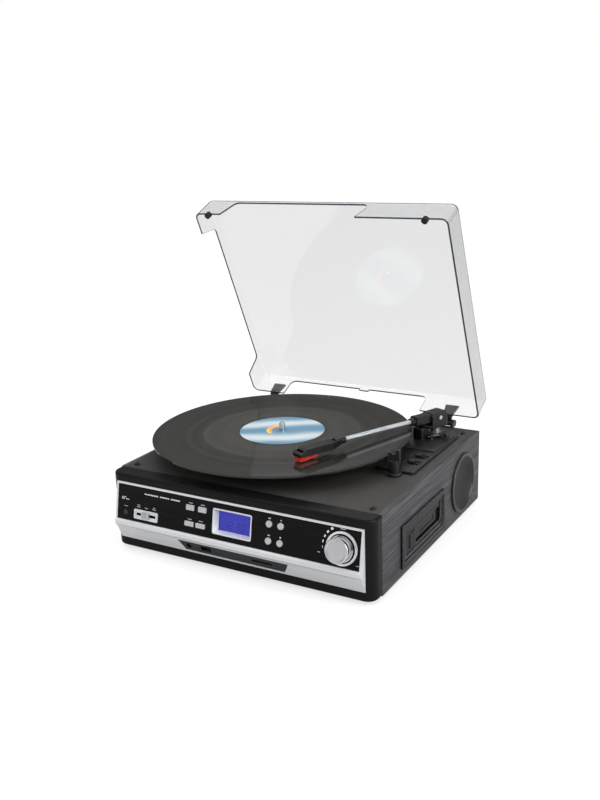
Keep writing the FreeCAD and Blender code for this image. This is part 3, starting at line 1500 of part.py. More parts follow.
# pivot pillar with a bore for the arm's upright shaft
pivot_z = deck_top + s.pivot_rise
pillar_top = plate_top + s.pillar_height
pillar = cone(s.pillar_radius, s.pillar_top_radius, s.pillar_height, (pivot_x, pivot_y, plate_top))
bore = cylinder(s.pivot_shaft_radius + s.running_gap, s.pivot_shaft_length + s.overrun,
                (pivot_x, pivot_y, pillar_top - s.pivot_shaft_length))
keep("pivot_pillar", cut(pillar, bore))

# arm housing: a chamfered block, hollow and open to the front, on an upright shaft
pivot_place = (pivot_x, pivot_y, pivot_z)
housing_left = -s.housing_width / 2 - s.housing_side_shift
housing_right = s.housing_width / 2 - s.housing_side_shift
housing = new_body()
sketch = new_sketch(housing, "XY_Plane", -s.housing_drop)
outline(sketch, (-s.housing_back, housing_left, s.housing_corner),
        (s.housing_length - s.housing_back, housing_left),
        (s.housing_length - s.housing_back, housing_right),
        (-s.housing_back, housing_right, s.housing_corner))
solid = pad(housing, sketch, s.housing_drop + s.housing_rise)
edges = edges_where(solid, lambda spots: all(near(spot.z, s.housing_rise) for spot in spots))
dress(housing, "Chamfer", solid, edges, s.housing_chamfer)
mouth_half = s.housing_mouth_width / 2
sketch = new_sketch(housing, "XZ_Plane")
mouth_front = s.housing_length - s.housing_back + s.overrun
outline(sketch, (-s.housing_mouth_back, -s.housing_mouth_drop), (mouth_front, -s.housing_mouth_drop),
        (mouth_front, s.housing_mouth_rise), (-s.housing_mouth_back, s.housing_mouth_rise))
slice_through(housing, sketch, s.housing_mouth_width)
sketch = new_sketch(housing, "XZ_Plane")
circle(sketch, 0, 0, s.arm_pin_radius + s.running_gap)
pocket(housing, sketch)
sketch = new_sketch(housing, "XY_Plane", -s.housing_drop)
circle(sketch, 0, 0, s.pivot_shaft_radius)
shaft_reach = pivot_z - s.housing_drop - pillar_top + s.pivot_shaft_length - s.moving_gap
pad(housing, sketch, shaft_reach, reverse=True)
keep("tonearm_housing", set_turned(housing, pivot_place, -Z_AXIS, s.arm_heading))

# pivot screws through the housing's cheeks into the arm
pins = []
for side, face in ((1, housing_right), (-1, housing_left)):
    turn = FreeCAD.Rotation(X_AXIS, RIGHT_ANGLE * side)
    inner = s.stub_half_width - s.arm_pin_bite
    shank = cylinder(s.arm_pin_radius, face * side - inner, (0, face, 0), turn)
    head = cylinder(s.arm_pin_head_radius, s.arm_pin_head, (0, face + s.arm_pin_head * side, 0), turn)
    pins.append(fused(shank, head))
keep("pivot_screws", set_turned(group(*pins), pivot_place, -Z_AXIS, s.arm_heading))

# the arm proper leans up a little towards its head
arm_turn = FreeCAD.Rotation(-Z_AXIS,
                            s.arm_heading.value).multiply(FreeCAD.Rotation(-Y_AXIS, s.arm_tilt.value))


def on_arm(thing):
    return set_place(thing, pivot_place, arm_turn)


socket = new_body()
sketch = new_sketch(socket, "XY_Plane", -s.stub_drop)
outline(sketch, (-s.stub_back, -s.stub_half_width), (s.socket_start, -s.stub_half_width),
        (s.socket_start, s.stub_half_width), (-s.stub_back, s.stub_half_width))
pad(socket, sketch, s.stub_drop + s.stub_rise)
sketch = new_sketch(socket, "YZ_Plane", s.socket_start)
rectangle(sketch, 0, 0, s.socket_radius * 2, s.socket_radius * 2, s.socket_corner)
pad(socket, sketch, s.socket_end - s.socket_start)
sketch = new_sketch(socket, "YZ_Plane", s.socket_end)
circle(sketch, 0, 0, s.socket_neck_radius)
pad(socket, sketch, s.socket_neck)
sketch = new_sketch(socket, "XZ_Plane")
circle(sketch, 0, 0, s.arm_pin_radius + s.running_gap)
pocket(socket, sketch)
sketch = new_sketch(socket, "YZ_Plane", s.socket_end + s.socket_neck)
circle(sketch, 0, 0, s.tube_radius + s.running_gap)
pocket(socket, sketch, s.socket_neck + s.tube_bite)
keep("arm_socket", on_arm(socket))

# arm tube
tube_start = s.socket_end - s.tube_bite
tube = cylinder(s.tube_radius, s.tube_end - tube_start, (tube_start, 0, 0), ALONG)
keep("arm_tube", on_arm(group(tube)))

# headshell: a collar round the tube's end, a shell that is open below, and the cartridge in it
shell_top = s.shell_top
shell_low = shell_top - s.shell_depth
shell_back = s.shell_start + s.shell_collar
half_neck = s.shell_neck_width / 2
half_shell = s.shell_width / 2
shell = new_body()
sketch = new_sketch(shell, "XZ_Plane")
outline(sketch, (shell_back, shell_low / 2), (shell_back + s.shell_shoulder, shell_low),
        (s.shell_end, shell_low),
        (s.shell_end, shell_top - s.shell_nose_slope / 2), (s.shell_end - s.shell_nose_slope, shell_top),
        (shell_back, shell_top))
pad(shell, sketch, s.shell_width, both=True)
sketch = new_sketch(shell, "XY_Plane")
for side in (-1, 1):
    far = (half_shell + s.overrun) * side
    outline(sketch, (shell_back - s.overrun, half_neck * side), (shell_back, half_neck * side),
            (shell_back + s.shell_shoulder, half_shell * side), (shell_back + s.shell_shoulder, far),
            (shell_back - s.overrun, far))
pocket(shell, sketch)
sketch = new_sketch(shell, "XY_Plane", shell_top - s.shell_wall)
inner_half = half_shell - s.shell_wall
inner_back = shell_back + s.shell_shoulder + s.shell_wall
inner_front = s.shell_end - s.shell_wall * 2
outline(sketch, (inner_back, -inner_half), (inner_front, -inner_half), (inner_front, inner_half),
        (inner_back, inner_half))
pocket(shell, sketch, s.shell_depth)
sketch = new_sketch(shell, "YZ_Plane", s.shell_start)
circle(sketch, 0, 0, s.shell_collar_radius)
pad(shell, sketch, s.shell_collar + s.tube_bite)
sketch = new_sketch(shell, "YZ_Plane", s.shell_start)
circle(sketch, 0, 0, s.tube_radius + s.running_gap)
pocket(shell, sketch, s.tube_end - s.shell_start + s.running_gap, reverse=True)
sketch = new_sketch(shell, "XY_Plane", shell_top - s.shell_wall)
outline(sketch, (s.cartridge_start, -s.cartridge_width / 2), (s.cartridge_end, -s.cartridge_width / 2),
        (s.cartridge_end, s.cartridge_width / 2), (s.cartridge_start, s.cartridge_width / 2))
pad(shell, sketch, shell_top - s.shell_wall + s.cartridge_drop, reverse=True)
keep("headshell", on_arm(shell))

# stylus: a block under the cartridge with a fine tip just over the groove
tip_drop = pivot_z - record_top + s.record_rim_rise - s.moving_gap
tip_x = s.arm_reach * cosine(s.arm_tilt) - tip_drop * sine(s.arm_tilt)
tip_z = -s.arm_reach * sine(s.arm_tilt) - tip_drop * cosine(s.arm_tilt)
stylus = new_body()
sketch = new_sketch(stylus, "XZ_Plane")
stylus_low = -s.cartridge_drop - s.stylus_body
outline(sketch, (s.stylus_start, -s.cartridge_drop),
        (s.stylus_start, -s.cartridge_drop - s.stylus_body / 2),
        (tip_x - s.stylus_nose, stylus_low), (tip_x + s.stylus_tip_radius * 2, stylus_low),
        (s.stylus_end, stylus_low + s.stylus_body / 2), (s.stylus_end, -s.cartridge_drop))
pad(stylus, sketch, s.stylus_width, both=True)
sketch = new_sketch(stylus, "XZ_Plane")
outline(sketch, (tip_x - s.stylus_tip_radius, stylus_low + s.stylus_tip_radius), (tip_x, tip_z),
        (tip_x + s.stylus_tip_radius, stylus_low + s.stylus_tip_radius))
pad(stylus, sketch, s.stylus_tip_radius, both=True)
keep("stylus", on_arm(stylus))

# arm lift: a curved bar under the arm on a stem, and the block that the stem slides in
bar_top = pivot_z + s.lift_radius * sine(s.arm_tilt) - s.socket_radius * cosine(s.arm_tilt) - s.lift_gap
bar_low = bar_top - s.lift_thickness
sweep = s.lift_inner_sweep + s.lift_outer_sweep


def sector(radius, low, high):
    slab = cylinder(radius, high - low, (0, 0, low))
    slab.setExpression("Angle", sweep.text)
    return slab


half_bar = s.lift_width / 2
arc = cut(sector(s.lift_radius + half_bar, bar_low - pivot_z, bar_top - pivot_z),
          cylinder(s.lift_radius - half_bar, s.lift_thickness + s.overrun * 2,
                   (0, 0, bar_low - pivot_z - s.overrun)))
set_turned(arc, pivot_place, -Z_AXIS, s.arm_heading + s.lift_inner_sweep)
lift_turn = s.arm_heading + (s.lift_inner_sweep - s.lift_outer_sweep) / 2
stem = group(cylinder(s.lift_stem_radius, s.lift_stem,
                      (s.lift_radius, 0, bar_low - pivot_z - s.lift_stem)))
set_turned(stem, pivot_place, -Z_AXIS, lift_turn)
keep("lift_bar", fused(arc, stem))
lift_block = new_body()
block_top = bar_low - s.lift_gap - pivot_z
sketch = new_sketch(lift_block, "XY_Plane", plate_top - pivot_z)
rectangle(sketch, s.lift_radius, 0, s.lift_block_length, s.lift_block_width, s.lift_block_corner)
solid = pad(lift_block, sketch, block_top + pivot_z - plate_top)
edges = edges_where(solid, lambda spots: all(near(spot.z, block_top) for spot in spots))
dress(lift_block, "Chamfer", solid, edges, s.lift_block_edge)
sketch = new_sketch(lift_block, "XY_Plane", block_top)
circle(sketch, s.lift_radius, 0, s.lift_stem_radius + s.running_gap)
pocket(lift_block, sketch, s.lift_stem)
keep("lift_block", set_turned(lift_block, pivot_place, -Z_AXIS, lift_turn))

# arm rest: a post on a round foot, with a fork whose outer horn is the higher one
rest_turn = s.arm_heading - s.rest_swing
rest_along = pivot_behind * sine(rest_turn) - pivot_beside * cosine(rest_turn)
rest_apart = s.record_radius + s.rest_post_radius + s.rest_clearance
rest_inside = spindle_distance * spindle_distance - rest_apart * rest_apart
rest_reach = rest_along + root(rest_along * rest_along - rest_inside)
rest_place = (pivot_x + rest_reach * cosine(rest_turn), pivot_y - rest_reach * sine(rest_turn), deck_top)
foot = cylinder(s.rest_base_radius, s.rest_base, (0, 0, 0))
post = cone(s.rest_base_radius - s.rest_draft, s.rest_post_radius, s.rest_post, (0, 0, 0))
half_long = s.rest_fork_length / 2
half_wide = s.rest_fork_width / 2
fork = block((-half_long, -half_wide, s.rest_post - s.rest_base),
             (half_long, half_wide, s.rest_outer_horn))
seat_middle = s.rest_seat + s.rest_seat_radius
reach = half_long + s.overrun
seat = cylinder(s.rest_seat_radius, reach * 2, (-reach, 0, seat_middle), ALONG)
gate = block((-reach, -s.rest_seat_radius, seat_middle),
             (reach, s.rest_seat_radius, s.rest_outer_horn + s.overrun))
step = block((-reach, -half_wide - s.overrun, s.rest_inner_horn),
             (reach, 0, s.rest_outer_horn + s.overrun))
keep("arm_rest",
     set_turned(cut(fused(foot, post, fork), seat, gate, step), rest_place, -Z_AXIS, rest_turn))

# dust cover, drawn shut with the hinge axis as its origin: a thin tray with cut-outs in three sides
hinge_y = rear_y + s.hinge_overhang
hinge_z = deck_top + s.hinge_rise
hinge_place = (0, hinge_y, hinge_z)
lid_half = s.lid_width / 2
lid_back = -s.lid_setback
lid_front = lid_back - s.lid_length
lid_rim = s.lid_standoff - s.hinge_rise
lid_top = lid_rim + s.lid_depth


def on_lid(thing):
    return set_turned(thing, hinge_place, -X_AXIS, s.lid_open)


lid = new_body()
sketch = new_sketch(lid, "XY_Plane", lid_rim)
outline(sketch, (-lid_half, lid_front, s.lid_corner), (lid_half, lid_front, s.lid_corner),
        (lid_half, lid_back, s.lid_corner), (-lid_half, lid_back, s.lid_corner))
solid = pad(lid, sketch, s.lid_depth)
edges = edges_where(solid, lambda spots: all(near(spot.z, lid_top) for spot in spots))
dress(lid, "Fillet", solid, edges, s.lid_edge)
sketch = new_sketch(lid, "XY_Plane", lid_rim)
corner = s.lid_corner - s.lid_wall
outline(sketch, (s.lid_wall - lid_half, lid_front + s.lid_wall, corner),
        (lid_half - s.lid_wall, lid_front + s.lid_wall, corner),
        (lid_half - s.lid_wall, lid_back - s.lid_wall, corner),
        (s.lid_wall - lid_half, lid_back - s.lid_wall, corner))
hollow = pocket(lid, sketch, s.lid_depth - s.lid_wall, reverse=True)
edges = edges_where(hollow, lambda spots: all(near(spot.z, lid_top - s.lid_wall) for spot in spots))
dress(lid, "Fillet", hollow, edges, s.lid_edge - s.lid_wall)
cut_top = lid_rim + s.cut_height
cut_low = lid_rim - s.overrun
through = s.lid_wall + s.overrun * 2
sketch = new_sketch(lid, "XZ_Plane", -lid_front - s.lid_wall / 2)
outline(sketch, (-s.front_cut_left - s.cut_lean, cut_low), (-s.front_cut_left, cut_top, s.cut_corner),
        (s.front_cut_right + s.cut_lean, cut_top, s.cut_corner), (s.front_cut_right, cut_low))
slice_through(lid, sketch, through)
sketch = new_sketch(lid, "XZ_Plane", -lid_back + s.lid_wall / 2)
tab_low = cut_top - s.tab_drop
outline(sketch, (-s.rear_cut_left, cut_low), (-s.rear_cut_left, cut_top, s.cut_corner),
        (-s.tab_left, cut_top),
        (-s.tab_left, tab_low), (s.tab_right, tab_low), (s.tab_right, cut_top),
        (s.rear_cut_right, cut_top, s.cut_corner), (s.rear_cut_right, cut_low))
slice_through(lid, sketch, through)
sketch = new_sketch(lid, "YZ_Plane", s.lid_wall / 2 - lid_half)
outline(sketch, (lid_back - s.left_cut_front - s.cut_lean, cut_low),
        (lid_back - s.left_cut_front, cut_top, s.cut_corner),
        (lid_back - s.left_cut_back, cut_top, s.cut_corner),
        (lid_back - s.left_cut_back + s.cut_lean, cut_low))
slice_through(lid, sketch, through)
keep("dust_cover", on_lid(lid))

# bumpers under the cover's front rim
bumpers = [cylinder(s.bumper_radius, s.lid_standoff - s.fit_gap,
                    (x, lid_front + s.lid_wall / 2, lid_rim - s.lid_standoff + s.fit_gap))
           for x in (-s.bumper_left, s.bumper_right)]
keep("lid_bumpers", on_lid(group(*bumpers)))

# hinges: lugs with a pin on the deck, a leaf with a knuckle on the cover
bases = []
leaves = []
half_hinge = s.hinge_width / 2
knuckle_half = half_hinge - s.hinge_lug - s.moving_gap
foot_low = -s.hinge_rise
for x in (-s.hinge_x - s.hinge_shift, s.hinge_x - s.hinge_shift):
    parts = [block((-half_hinge, -s.hinge_foot_front, foot_low),
                   (half_hinge, -s.hinge_overhang, foot_low + s.hinge_foot_height)),
             cylinder(s.hinge_pin_radius, s.hinge_width, (-half_hinge, 0, 0), ALONG)]
    for start in (-half_hinge, half_hinge - s.hinge_lug):
        parts.append(cylinder(s.hinge_lug_radius, s.hinge_lug, (start, 0, 0), ALONG))
        parts.append(block((start, -s.hinge_foot_front, foot_low),
                           (start + s.hinge_lug, 0, s.hinge_lug_top)))
    bases.append(set_place(fused(*parts), (x, hinge_y, hinge_z)))
    leaf = new_body()
    sketch = new_sketch(leaf, "XZ_Plane", s.lid_setback)
    outline(sketch, (-half_hinge + s.leaf_taper, -s.leaf_foot), (half_hinge - s.leaf_taper, -s.leaf_foot),
            (half_hinge, s.leaf_top), (-half_hinge, s.leaf_top))
    pad(leaf, sketch, s.leaf_thickness, reverse=True)
    web = block((-knuckle_half, s.leaf_thickness - s.lid_setback, -s.leaf_web / 2),
                (knuckle_half, 0, s.leaf_web / 2))
    knuckle = cylinder(s.hinge_knuckle_radius, knuckle_half * 2, (-knuckle_half, 0, 0), ALONG)
    bore = cylinder(s.hinge_pin_radius + s.running_gap, s.hinge_width, (-half_hinge, 0, 0), ALONG)
    leaves.append(set_turned(cut(fused(leaf, web, knuckle), bore), (x, hinge_y, hinge_z), -X_AXIS,
                             s.lid_open))
keep("hinge_bases", group(*bases))
keep("hinge_leaves", group(*leaves))

# check every object, then write one file for each sub-part
doc.recompute()
for thing in doc.Objects:
    if "Invalid" in thing.State or "Error" in thing.State:
        raise RuntimeError(f"{thing.Name} ({thing.Label}) did not build: {thing.State}")
os.makedirs("parts", exist_ok=True)
for piece in pieces:
    if piece.Shape.isNull() or not piece.Shape.isValid():
        raise RuntimeError(f"{piece.Label} has no valid shape")
    piece.Shape.exportStep(f"parts/{piece.Label}.step")
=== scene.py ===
import math

import bmesh
import bpy
from mathutils import Matrix, Vector


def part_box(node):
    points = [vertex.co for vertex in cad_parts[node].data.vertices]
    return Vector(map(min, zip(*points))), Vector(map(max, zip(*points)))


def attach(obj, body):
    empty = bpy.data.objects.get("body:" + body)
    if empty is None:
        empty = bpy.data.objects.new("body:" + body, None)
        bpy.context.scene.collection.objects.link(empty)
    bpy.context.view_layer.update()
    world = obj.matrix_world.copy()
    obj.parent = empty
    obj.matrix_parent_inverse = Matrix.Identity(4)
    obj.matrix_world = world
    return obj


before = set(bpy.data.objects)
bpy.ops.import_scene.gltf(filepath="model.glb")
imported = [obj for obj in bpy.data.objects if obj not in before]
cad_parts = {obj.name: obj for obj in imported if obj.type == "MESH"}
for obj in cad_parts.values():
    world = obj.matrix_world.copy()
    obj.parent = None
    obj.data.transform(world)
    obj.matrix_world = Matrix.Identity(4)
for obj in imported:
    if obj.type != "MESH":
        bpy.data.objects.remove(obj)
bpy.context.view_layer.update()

# Base and rear boards: hardboard pressed from wood fibre and sprayed black on both faces.
# They close the cabinet from below and behind, let in between the side panels.


def start_finish(name, colour, roughness, metallic=0.0):
    """A new material whose shader has these plain values, with its node tree."""
    finish = bpy.data.materials.new(name)
    finish.use_nodes = True
    shader = finish.node_tree.nodes["Principled BSDF"]
    shader.inputs["Base Color"].default_value = (*colour, 1.0)
    shader.inputs["Roughness"].default_value = roughness
    shader.inputs["Metallic"].default_value = metallic
    return finish, finish.node_tree, shader


def place_on_piece(tree, pitch, centre=(0.0, 0.0, 0.0), turn=(0.0, 0.0, 0.0)):
    """The point on the piece, counted from centre in steps of pitch metres along each axis."""
    point = tree.nodes.new("ShaderNodeTexCoord")
    from_centre = tree.nodes.new("ShaderNodeVectorMath")
    from_centre.operation = "SUBTRACT"
    from_centre.inputs[1].default_value = centre
    tree.links.new(point.outputs["Object"], from_centre.inputs[0])
    mapping = tree.nodes.new("ShaderNodeMapping")
    mapping.vector_type = "TEXTURE"
    mapping.inputs["Rotation"].default_value = turn
    mapping.inputs["Scale"].default_value = pitch
    tree.links.new(from_centre.outputs[0], mapping.inputs["Vector"])
    return mapping.outputs["Vector"]


def grain(tree, pitch, detail=3.0, bend=0.0):
    """Noise whose specks are about pitch metres long along each axis."""
    noise = tree.nodes.new("ShaderNodeTexNoise")
    noise.inputs["Scale"].default_value = 1.0
    noise.inputs["Detail"].default_value = detail
    noise.inputs["Distortion"].default_value = bend
    tree.links.new(place_on_piece(tree, pitch), noise.inputs["Vector"])
    return noise.outputs[0]


def between(tree, amount, low, high, start=0.3, end=0.7):
    """An amount from start to end, carried over to the range from low to high."""
    spread = tree.nodes.new("ShaderNodeMapRange")
    for socket, number in zip(("From Min", "From Max", "To Min", "To Max"), (start, end, low, high)):
        spread.inputs[socket].default_value = number
    tree.links.new(amount, spread.inputs["Value"])
    return spread.outputs["Result"]


def shades(tree, amount, *stops):
    """The colours along an amount, given as pairs of place and colour."""
    ramp = tree.nodes.new("ShaderNodeValToRGB")
    steps = ramp.color_ramp.elements
    steps.remove(steps[1])
    steps[0].position = stops[0][0]
    steps[0].color = (*stops[0][1], 1.0)
    for place, colour in stops[1:]:
        steps.new(place).color = (*colour, 1.0)
    tree.links.new(amount, ramp.inputs["Fac"])
    return ramp.outputs["Color"]


def tint(tree, shader, amount, *stops):
    """Colour the shader along an amount, by pairs of place and colour."""
    tree.links.new(shades(tree, amount, *stops), shader.inputs["Base Color"])


def roughen(tree, shader, amount, low, high, start=0.3, end=0.7):
    """Let the shader's roughness run from low to high as an amount goes from start to end."""
    tree.links.new(between(tree, amount, low, high, start, end), shader.inputs["Roughness"])


def relief(tree, shader, height, depth, strength=1.0, edge=0.0):
    """A bump of this depth in metres on the shader's normal, and edges rounded by this radius."""
    bump = tree.nodes.new("ShaderNodeBump")
    if edge:
        rounding = tree.nodes.new("ShaderNodeBevel")
        rounding.inputs["Radius"].default_value = edge
        tree.links.new(rounding.outputs["Normal"], bump.inputs["Normal"])
    bump.inputs["Distance"].default_value = depth
    bump.inputs["Strength"].default_value = strength
    tree.links.new(height, bump.inputs["Height"])
    tree.links.new(bump.outputs["Normal"], shader.inputs["Normal"])


def put_on(finish, *names):
    """Give these CAD nodes a finish."""
    for name in names:
        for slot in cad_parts[name].material_slots:
            slot.material = finish


board_finish, board_tree, board_shader = start_finish("black_hardboard", (0.03, 0.028, 0.026), 0.8)
board_fibres = grain(board_tree, (0.004, 0.004, 0.004), 9.0, 0.8)
tint(board_tree, board_shader, board_fibres, (0.3, (0.02, 0.019, 0.018)), (0.7, (0.03, 0.0285, 0.027)))
roughen(board_tree, board_shader, board_fibres, 0.9, 0.7)
relief(board_tree, board_shader, board_fibres, 0.00003, 0.5)
put_on(board_finish, "base_board", "rear_panel")

# Side panels: particle board in a black wood-print wrap, its grain running from front to back.
# The long open pores are pressed into the wrap and catch the light as fine lighter lines, partly printed
# grain and partly painted highlight.


def sums(tree, operation, first, second):
    """One arithmetic step on two amounts, either of which may be a plain number."""
    step = tree.nodes.new("ShaderNodeMath")
    step.operation = operation
    for socket, amount in zip(step.inputs, (first, second)):
        if isinstance(amount, (int, float)):
            socket.default_value = amount
        else:
            tree.links.new(amount, socket)
    return step.outputs[0]


veneer_finish, veneer_tree, veneer_shader = start_finish("black_grained_wrap", (0.03, 0.03, 0.032), 0.5)
veneer_flame = grain(veneer_tree, (0.009, 0.22, 0.006), 3.0, 1.2)
veneer_lines = grain(veneer_tree, (0.002, 0.09, 0.0016), 3.0, 0.3)
veneer_pores = grain(veneer_tree, (0.001, 0.03, 0.0009), 2.0)
veneer_mix = sums(veneer_tree, "ADD", sums(veneer_tree, "MULTIPLY", veneer_flame, 0.2),
                  sums(veneer_tree, "ADD", sums(veneer_tree, "MULTIPLY", veneer_lines, 0.45),
                       sums(veneer_tree, "MULTIPLY", veneer_pores, 0.35)))
# The colour mixes the printed grain with a painted highlight along the pores.
tint(veneer_tree, veneer_shader, veneer_mix, (0.36, (0.014, 0.014, 0.0155)), (0.5, (0.038, 0.038, 0.041)),
     (0.64, (0.088, 0.088, 0.093)))
roughen(veneer_tree, veneer_shader, veneer_mix, 0.62, 0.42, 0.36, 0.64)
relief(veneer_tree, veneer_shader, veneer_mix, 0.0004, 0.7)
veneer_shader.inputs["Specular IOR Level"].default_value = 0.35
put_on(veneer_finish, "left_side_panel", "right_side_panel")

# Deck: a board lacquered flat black, laid on top of the cabinet and screwed down at its corners.
# The spray leaves a fine even tooth that greys it under a broad light.
deck_finish, deck_tree, deck_shader = start_finish("flat_black_lacquer", (0.034, 0.032, 0.029), 0.6)
deck_tooth = grain(deck_tree, (0.0007, 0.0007, 0.0007), 2.0)
deck_cloud = grain(deck_tree, (0.05, 0.03, 0.05), 4.0)
deck_mix = sums(deck_tree, "ADD", sums(deck_tree, "MULTIPLY", deck_tooth, 0.6),
                sums(deck_tree, "MULTIPLY", deck_cloud, 0.4))
tint(deck_tree, deck_shader, deck_mix, (0.35, (0.024, 0.0225, 0.0205)), (0.65, (0.042, 0.04, 0.037)))
roughen(deck_tree, deck_shader, deck_cloud, 0.52, 0.66)
deck_shader.inputs["Specular IOR Level"].default_value = 0.4
relief(deck_tree, deck_shader, deck_tooth, 0.00008, 0.6)
put_on(deck_finish, "deck_board")

# Feet: short moulded rubber pads, slightly dusty from standing on shelves.
# They are fixed under the base board near its corners.
rubber_finish, rubber_tree, rubber_shader = start_finish("foot_rubber", (0.02, 0.02, 0.02), 0.85)
rubber_dust = grain(rubber_tree, (0.002, 0.002, 0.002), 6.0)
tint(rubber_tree, rubber_shader, rubber_dust, (0.4, (0.012, 0.012, 0.012)), (0.75, (0.045, 0.043, 0.04)))
relief(rubber_tree, rubber_shader, rubber_dust, 0.00005)
put_on(rubber_finish, "rubber_feet")

# Screws: cross-head steel screws with a black oxide finish, rubbed a little brighter on their heads.
# They hold the deck down on the cabinet, one near each corner.
oxide_finish, oxide_tree, oxide_shader = start_finish("black_oxide_steel", (0.02, 0.02, 0.021), 0.4, 0.7)
oxide_rub = grain(oxide_tree, (0.0008, 0.0008, 0.0008), 4.0)
tint(oxide_tree, oxide_shader, oxide_rub, (0.45, (0.014, 0.014, 0.015)), (0.8, (0.09, 0.09, 0.092)))
roughen(oxide_tree, oxide_shader, oxide_rub, 0.5, 0.3)
put_on(oxide_finish, "cabinet_screws")

# Front frame: one satin black moulding with rounded upright corners, pushed on from the front.
# Its fine spark-eroded texture softens every highlight along the rounded top edge.


def moulded_finish(name, colour, roughness, tooth, depth, shine=0.5, edge=0.0005, edge_highlight=None):
    """Moulded plastic with a fine even tooth and rounded edges, which may get a painted highlight in a
    lighter colour.
    """
    finish, tree, shader = start_finish(name, colour, roughness)
    specks = grain(tree, (tooth, tooth, tooth), 2.0)
    handling = grain(tree, (tooth * 60, tooth * 45, tooth * 60), 4.0)
    darker = [part * 0.8 for part in colour]
    lighter = [part * 1.25 for part in colour]
    skin = shades(tree, sums(tree, "ADD", sums(tree, "MULTIPLY", specks, 0.7),
                             sums(tree, "MULTIPLY", handling, 0.3)), (0.35, darker), (0.65, lighter))
    # A painted highlight: along the rounded edges, where the bevel normal bends away, the colour turns to
    # the given one.
    if edge_highlight:
        rounding = tree.nodes.new("ShaderNodeBevel")
        rounding.inputs["Radius"].default_value = edge
        face = tree.nodes.new("ShaderNodeNewGeometry")
        bend = tree.nodes.new("ShaderNodeVectorMath")
        bend.operation = "DOT_PRODUCT"
        tree.links.new(rounding.outputs["Normal"], bend.inputs[0])
        tree.links.new(face.outputs["Normal"], bend.inputs[1])
        edge_highlight_mix = tree.nodes.new("ShaderNodeMix")
        edge_highlight_mix.data_type = "RGBA"
        tree.links.new(between(tree, bend.outputs["Value"], 1.0, 0.0, 0.8, 0.99), edge_highlight_mix.inputs["Factor"])
        tree.links.new(skin, edge_highlight_mix.inputs["A"])
        edge_highlight_mix.inputs["B"].default_value = (*edge_highlight, 1.0)
        skin = edge_highlight_mix.outputs["Result"]
    tree.links.new(skin, shader.inputs["Base Color"])
    roughen(tree, shader, handling, roughness * 0.88, roughness * 1.12)
    relief(tree, shader, specks, depth, 0.6, edge)
    shader.inputs["Specular IOR Level"].default_value = shine
    return finish


frame_finish = moulded_finish("frame_satin_black", (0.0055, 0.0056, 0.006), 0.36, 0.0006, 0.00003, 0.12)
put_on(frame_finish, "front_frame")

# Front trim: one moulding in silver paint, a picture frame round the panel with a bright lip below it
# and a sloping band under that. The paint's flakes are drawn out along the band like brushed metal.
trim_finish, trim_tree, trim_shader = start_finish("brushed_silver_paint", (0.8, 0.81, 0.82), 0.34, 0.35)
trim_streaks = grain(trim_tree, (0.11, 0.0005, 0.0005), 4.0)
trim_flakes = grain(trim_tree, (0.0004, 0.0004, 0.0004), 1.0)
trim_mix = sums(trim_tree, "ADD", sums(trim_tree, "MULTIPLY", trim_streaks, 0.7),
                sums(trim_tree, "MULTIPLY", trim_flakes, 0.3))
tint(trim_tree, trim_shader, trim_mix, (0.3, (0.62, 0.63, 0.645)), (0.7, (0.74, 0.745, 0.755)))
roughen(trim_tree, trim_shader, trim_streaks, 0.26, 0.42)
relief(trim_tree, trim_shader, trim_streaks, 0.00002, 0.5)
put_on(trim_finish, "front_trim")

# Control panel: a sheet of gloss black acrylic, leaning back inside the trim, printed from the front.
# The gloss shows faint wiping marks where it has been cleaned.
panel_finish, panel_tree, panel_shader = start_finish("gloss_black_acrylic", (0.0028, 0.0028, 0.0032), 0.09)
panel_wiping = grain(panel_tree, (0.03, 0.012, 0.006), 5.0, 1.0)
tint(panel_tree, panel_shader, panel_wiping, (0.35, (0.0022, 0.0022, 0.0025)),
     (0.7, (0.0042, 0.0042, 0.0046)))
roughen(panel_tree, panel_shader, panel_wiping, 0.06, 0.14)
panel_shader.inputs["Specular IOR Level"].default_value = 0.1
put_on(panel_finish, "control_panel")

# Printing on the panel: white ink, one coat screened through a mesh, a twentieth of a millimetre thick.
# Small signs stand over the buttons and sliders, and a scale of growing dashes runs round the knob.
panel_slant = math.radians(11.2)
panel_right = Vector((1.0, 0.0, 0.0))
panel_up = Vector((0.0, math.sin(panel_slant), math.cos(panel_slant)))
panel_out = Vector((0.0, -math.cos(panel_slant), math.sin(panel_slant)))
panel_points = [v.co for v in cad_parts["control_panel"].data.vertices]
panel_face = max(p.dot(panel_out) for p in panel_points)
panel_heights = [p.dot(panel_up) for p in panel_points]
printing_drop = 0.0003
panel_middle = (min(panel_heights) + max(panel_heights)) / 2 - printing_drop


def stand_on(right, up, out, origin):
    """The move from a flat drawing to a face with these directions and origin."""
    return Matrix.Translation(origin) @ Matrix((right, up, out)).transposed().to_4x4()


def draw_bar(drawing, x, y, width, height, lean=0.0):
    """A filled rectangle, leaning by an angle."""
    upright = Matrix.Diagonal((width, height, 1, 1))
    place = Matrix.Translation((x, y, 0)) @ Matrix.Rotation(lean, 4, "Z") @ upright
    bmesh.ops.create_grid(drawing, x_segments=1, y_segments=1, size=0.5, matrix=place)


def draw_disc(drawing, x, y, radius, corners=24, turn=0.0):
    """A filled circle, or a triangle where it has three corners."""
    place = Matrix.Translation((x, y, 0)) @ Matrix.Rotation(turn, 4, "Z")
    bmesh.ops.create_circle(drawing, cap_ends=True, segments=corners, radius=radius, matrix=place)


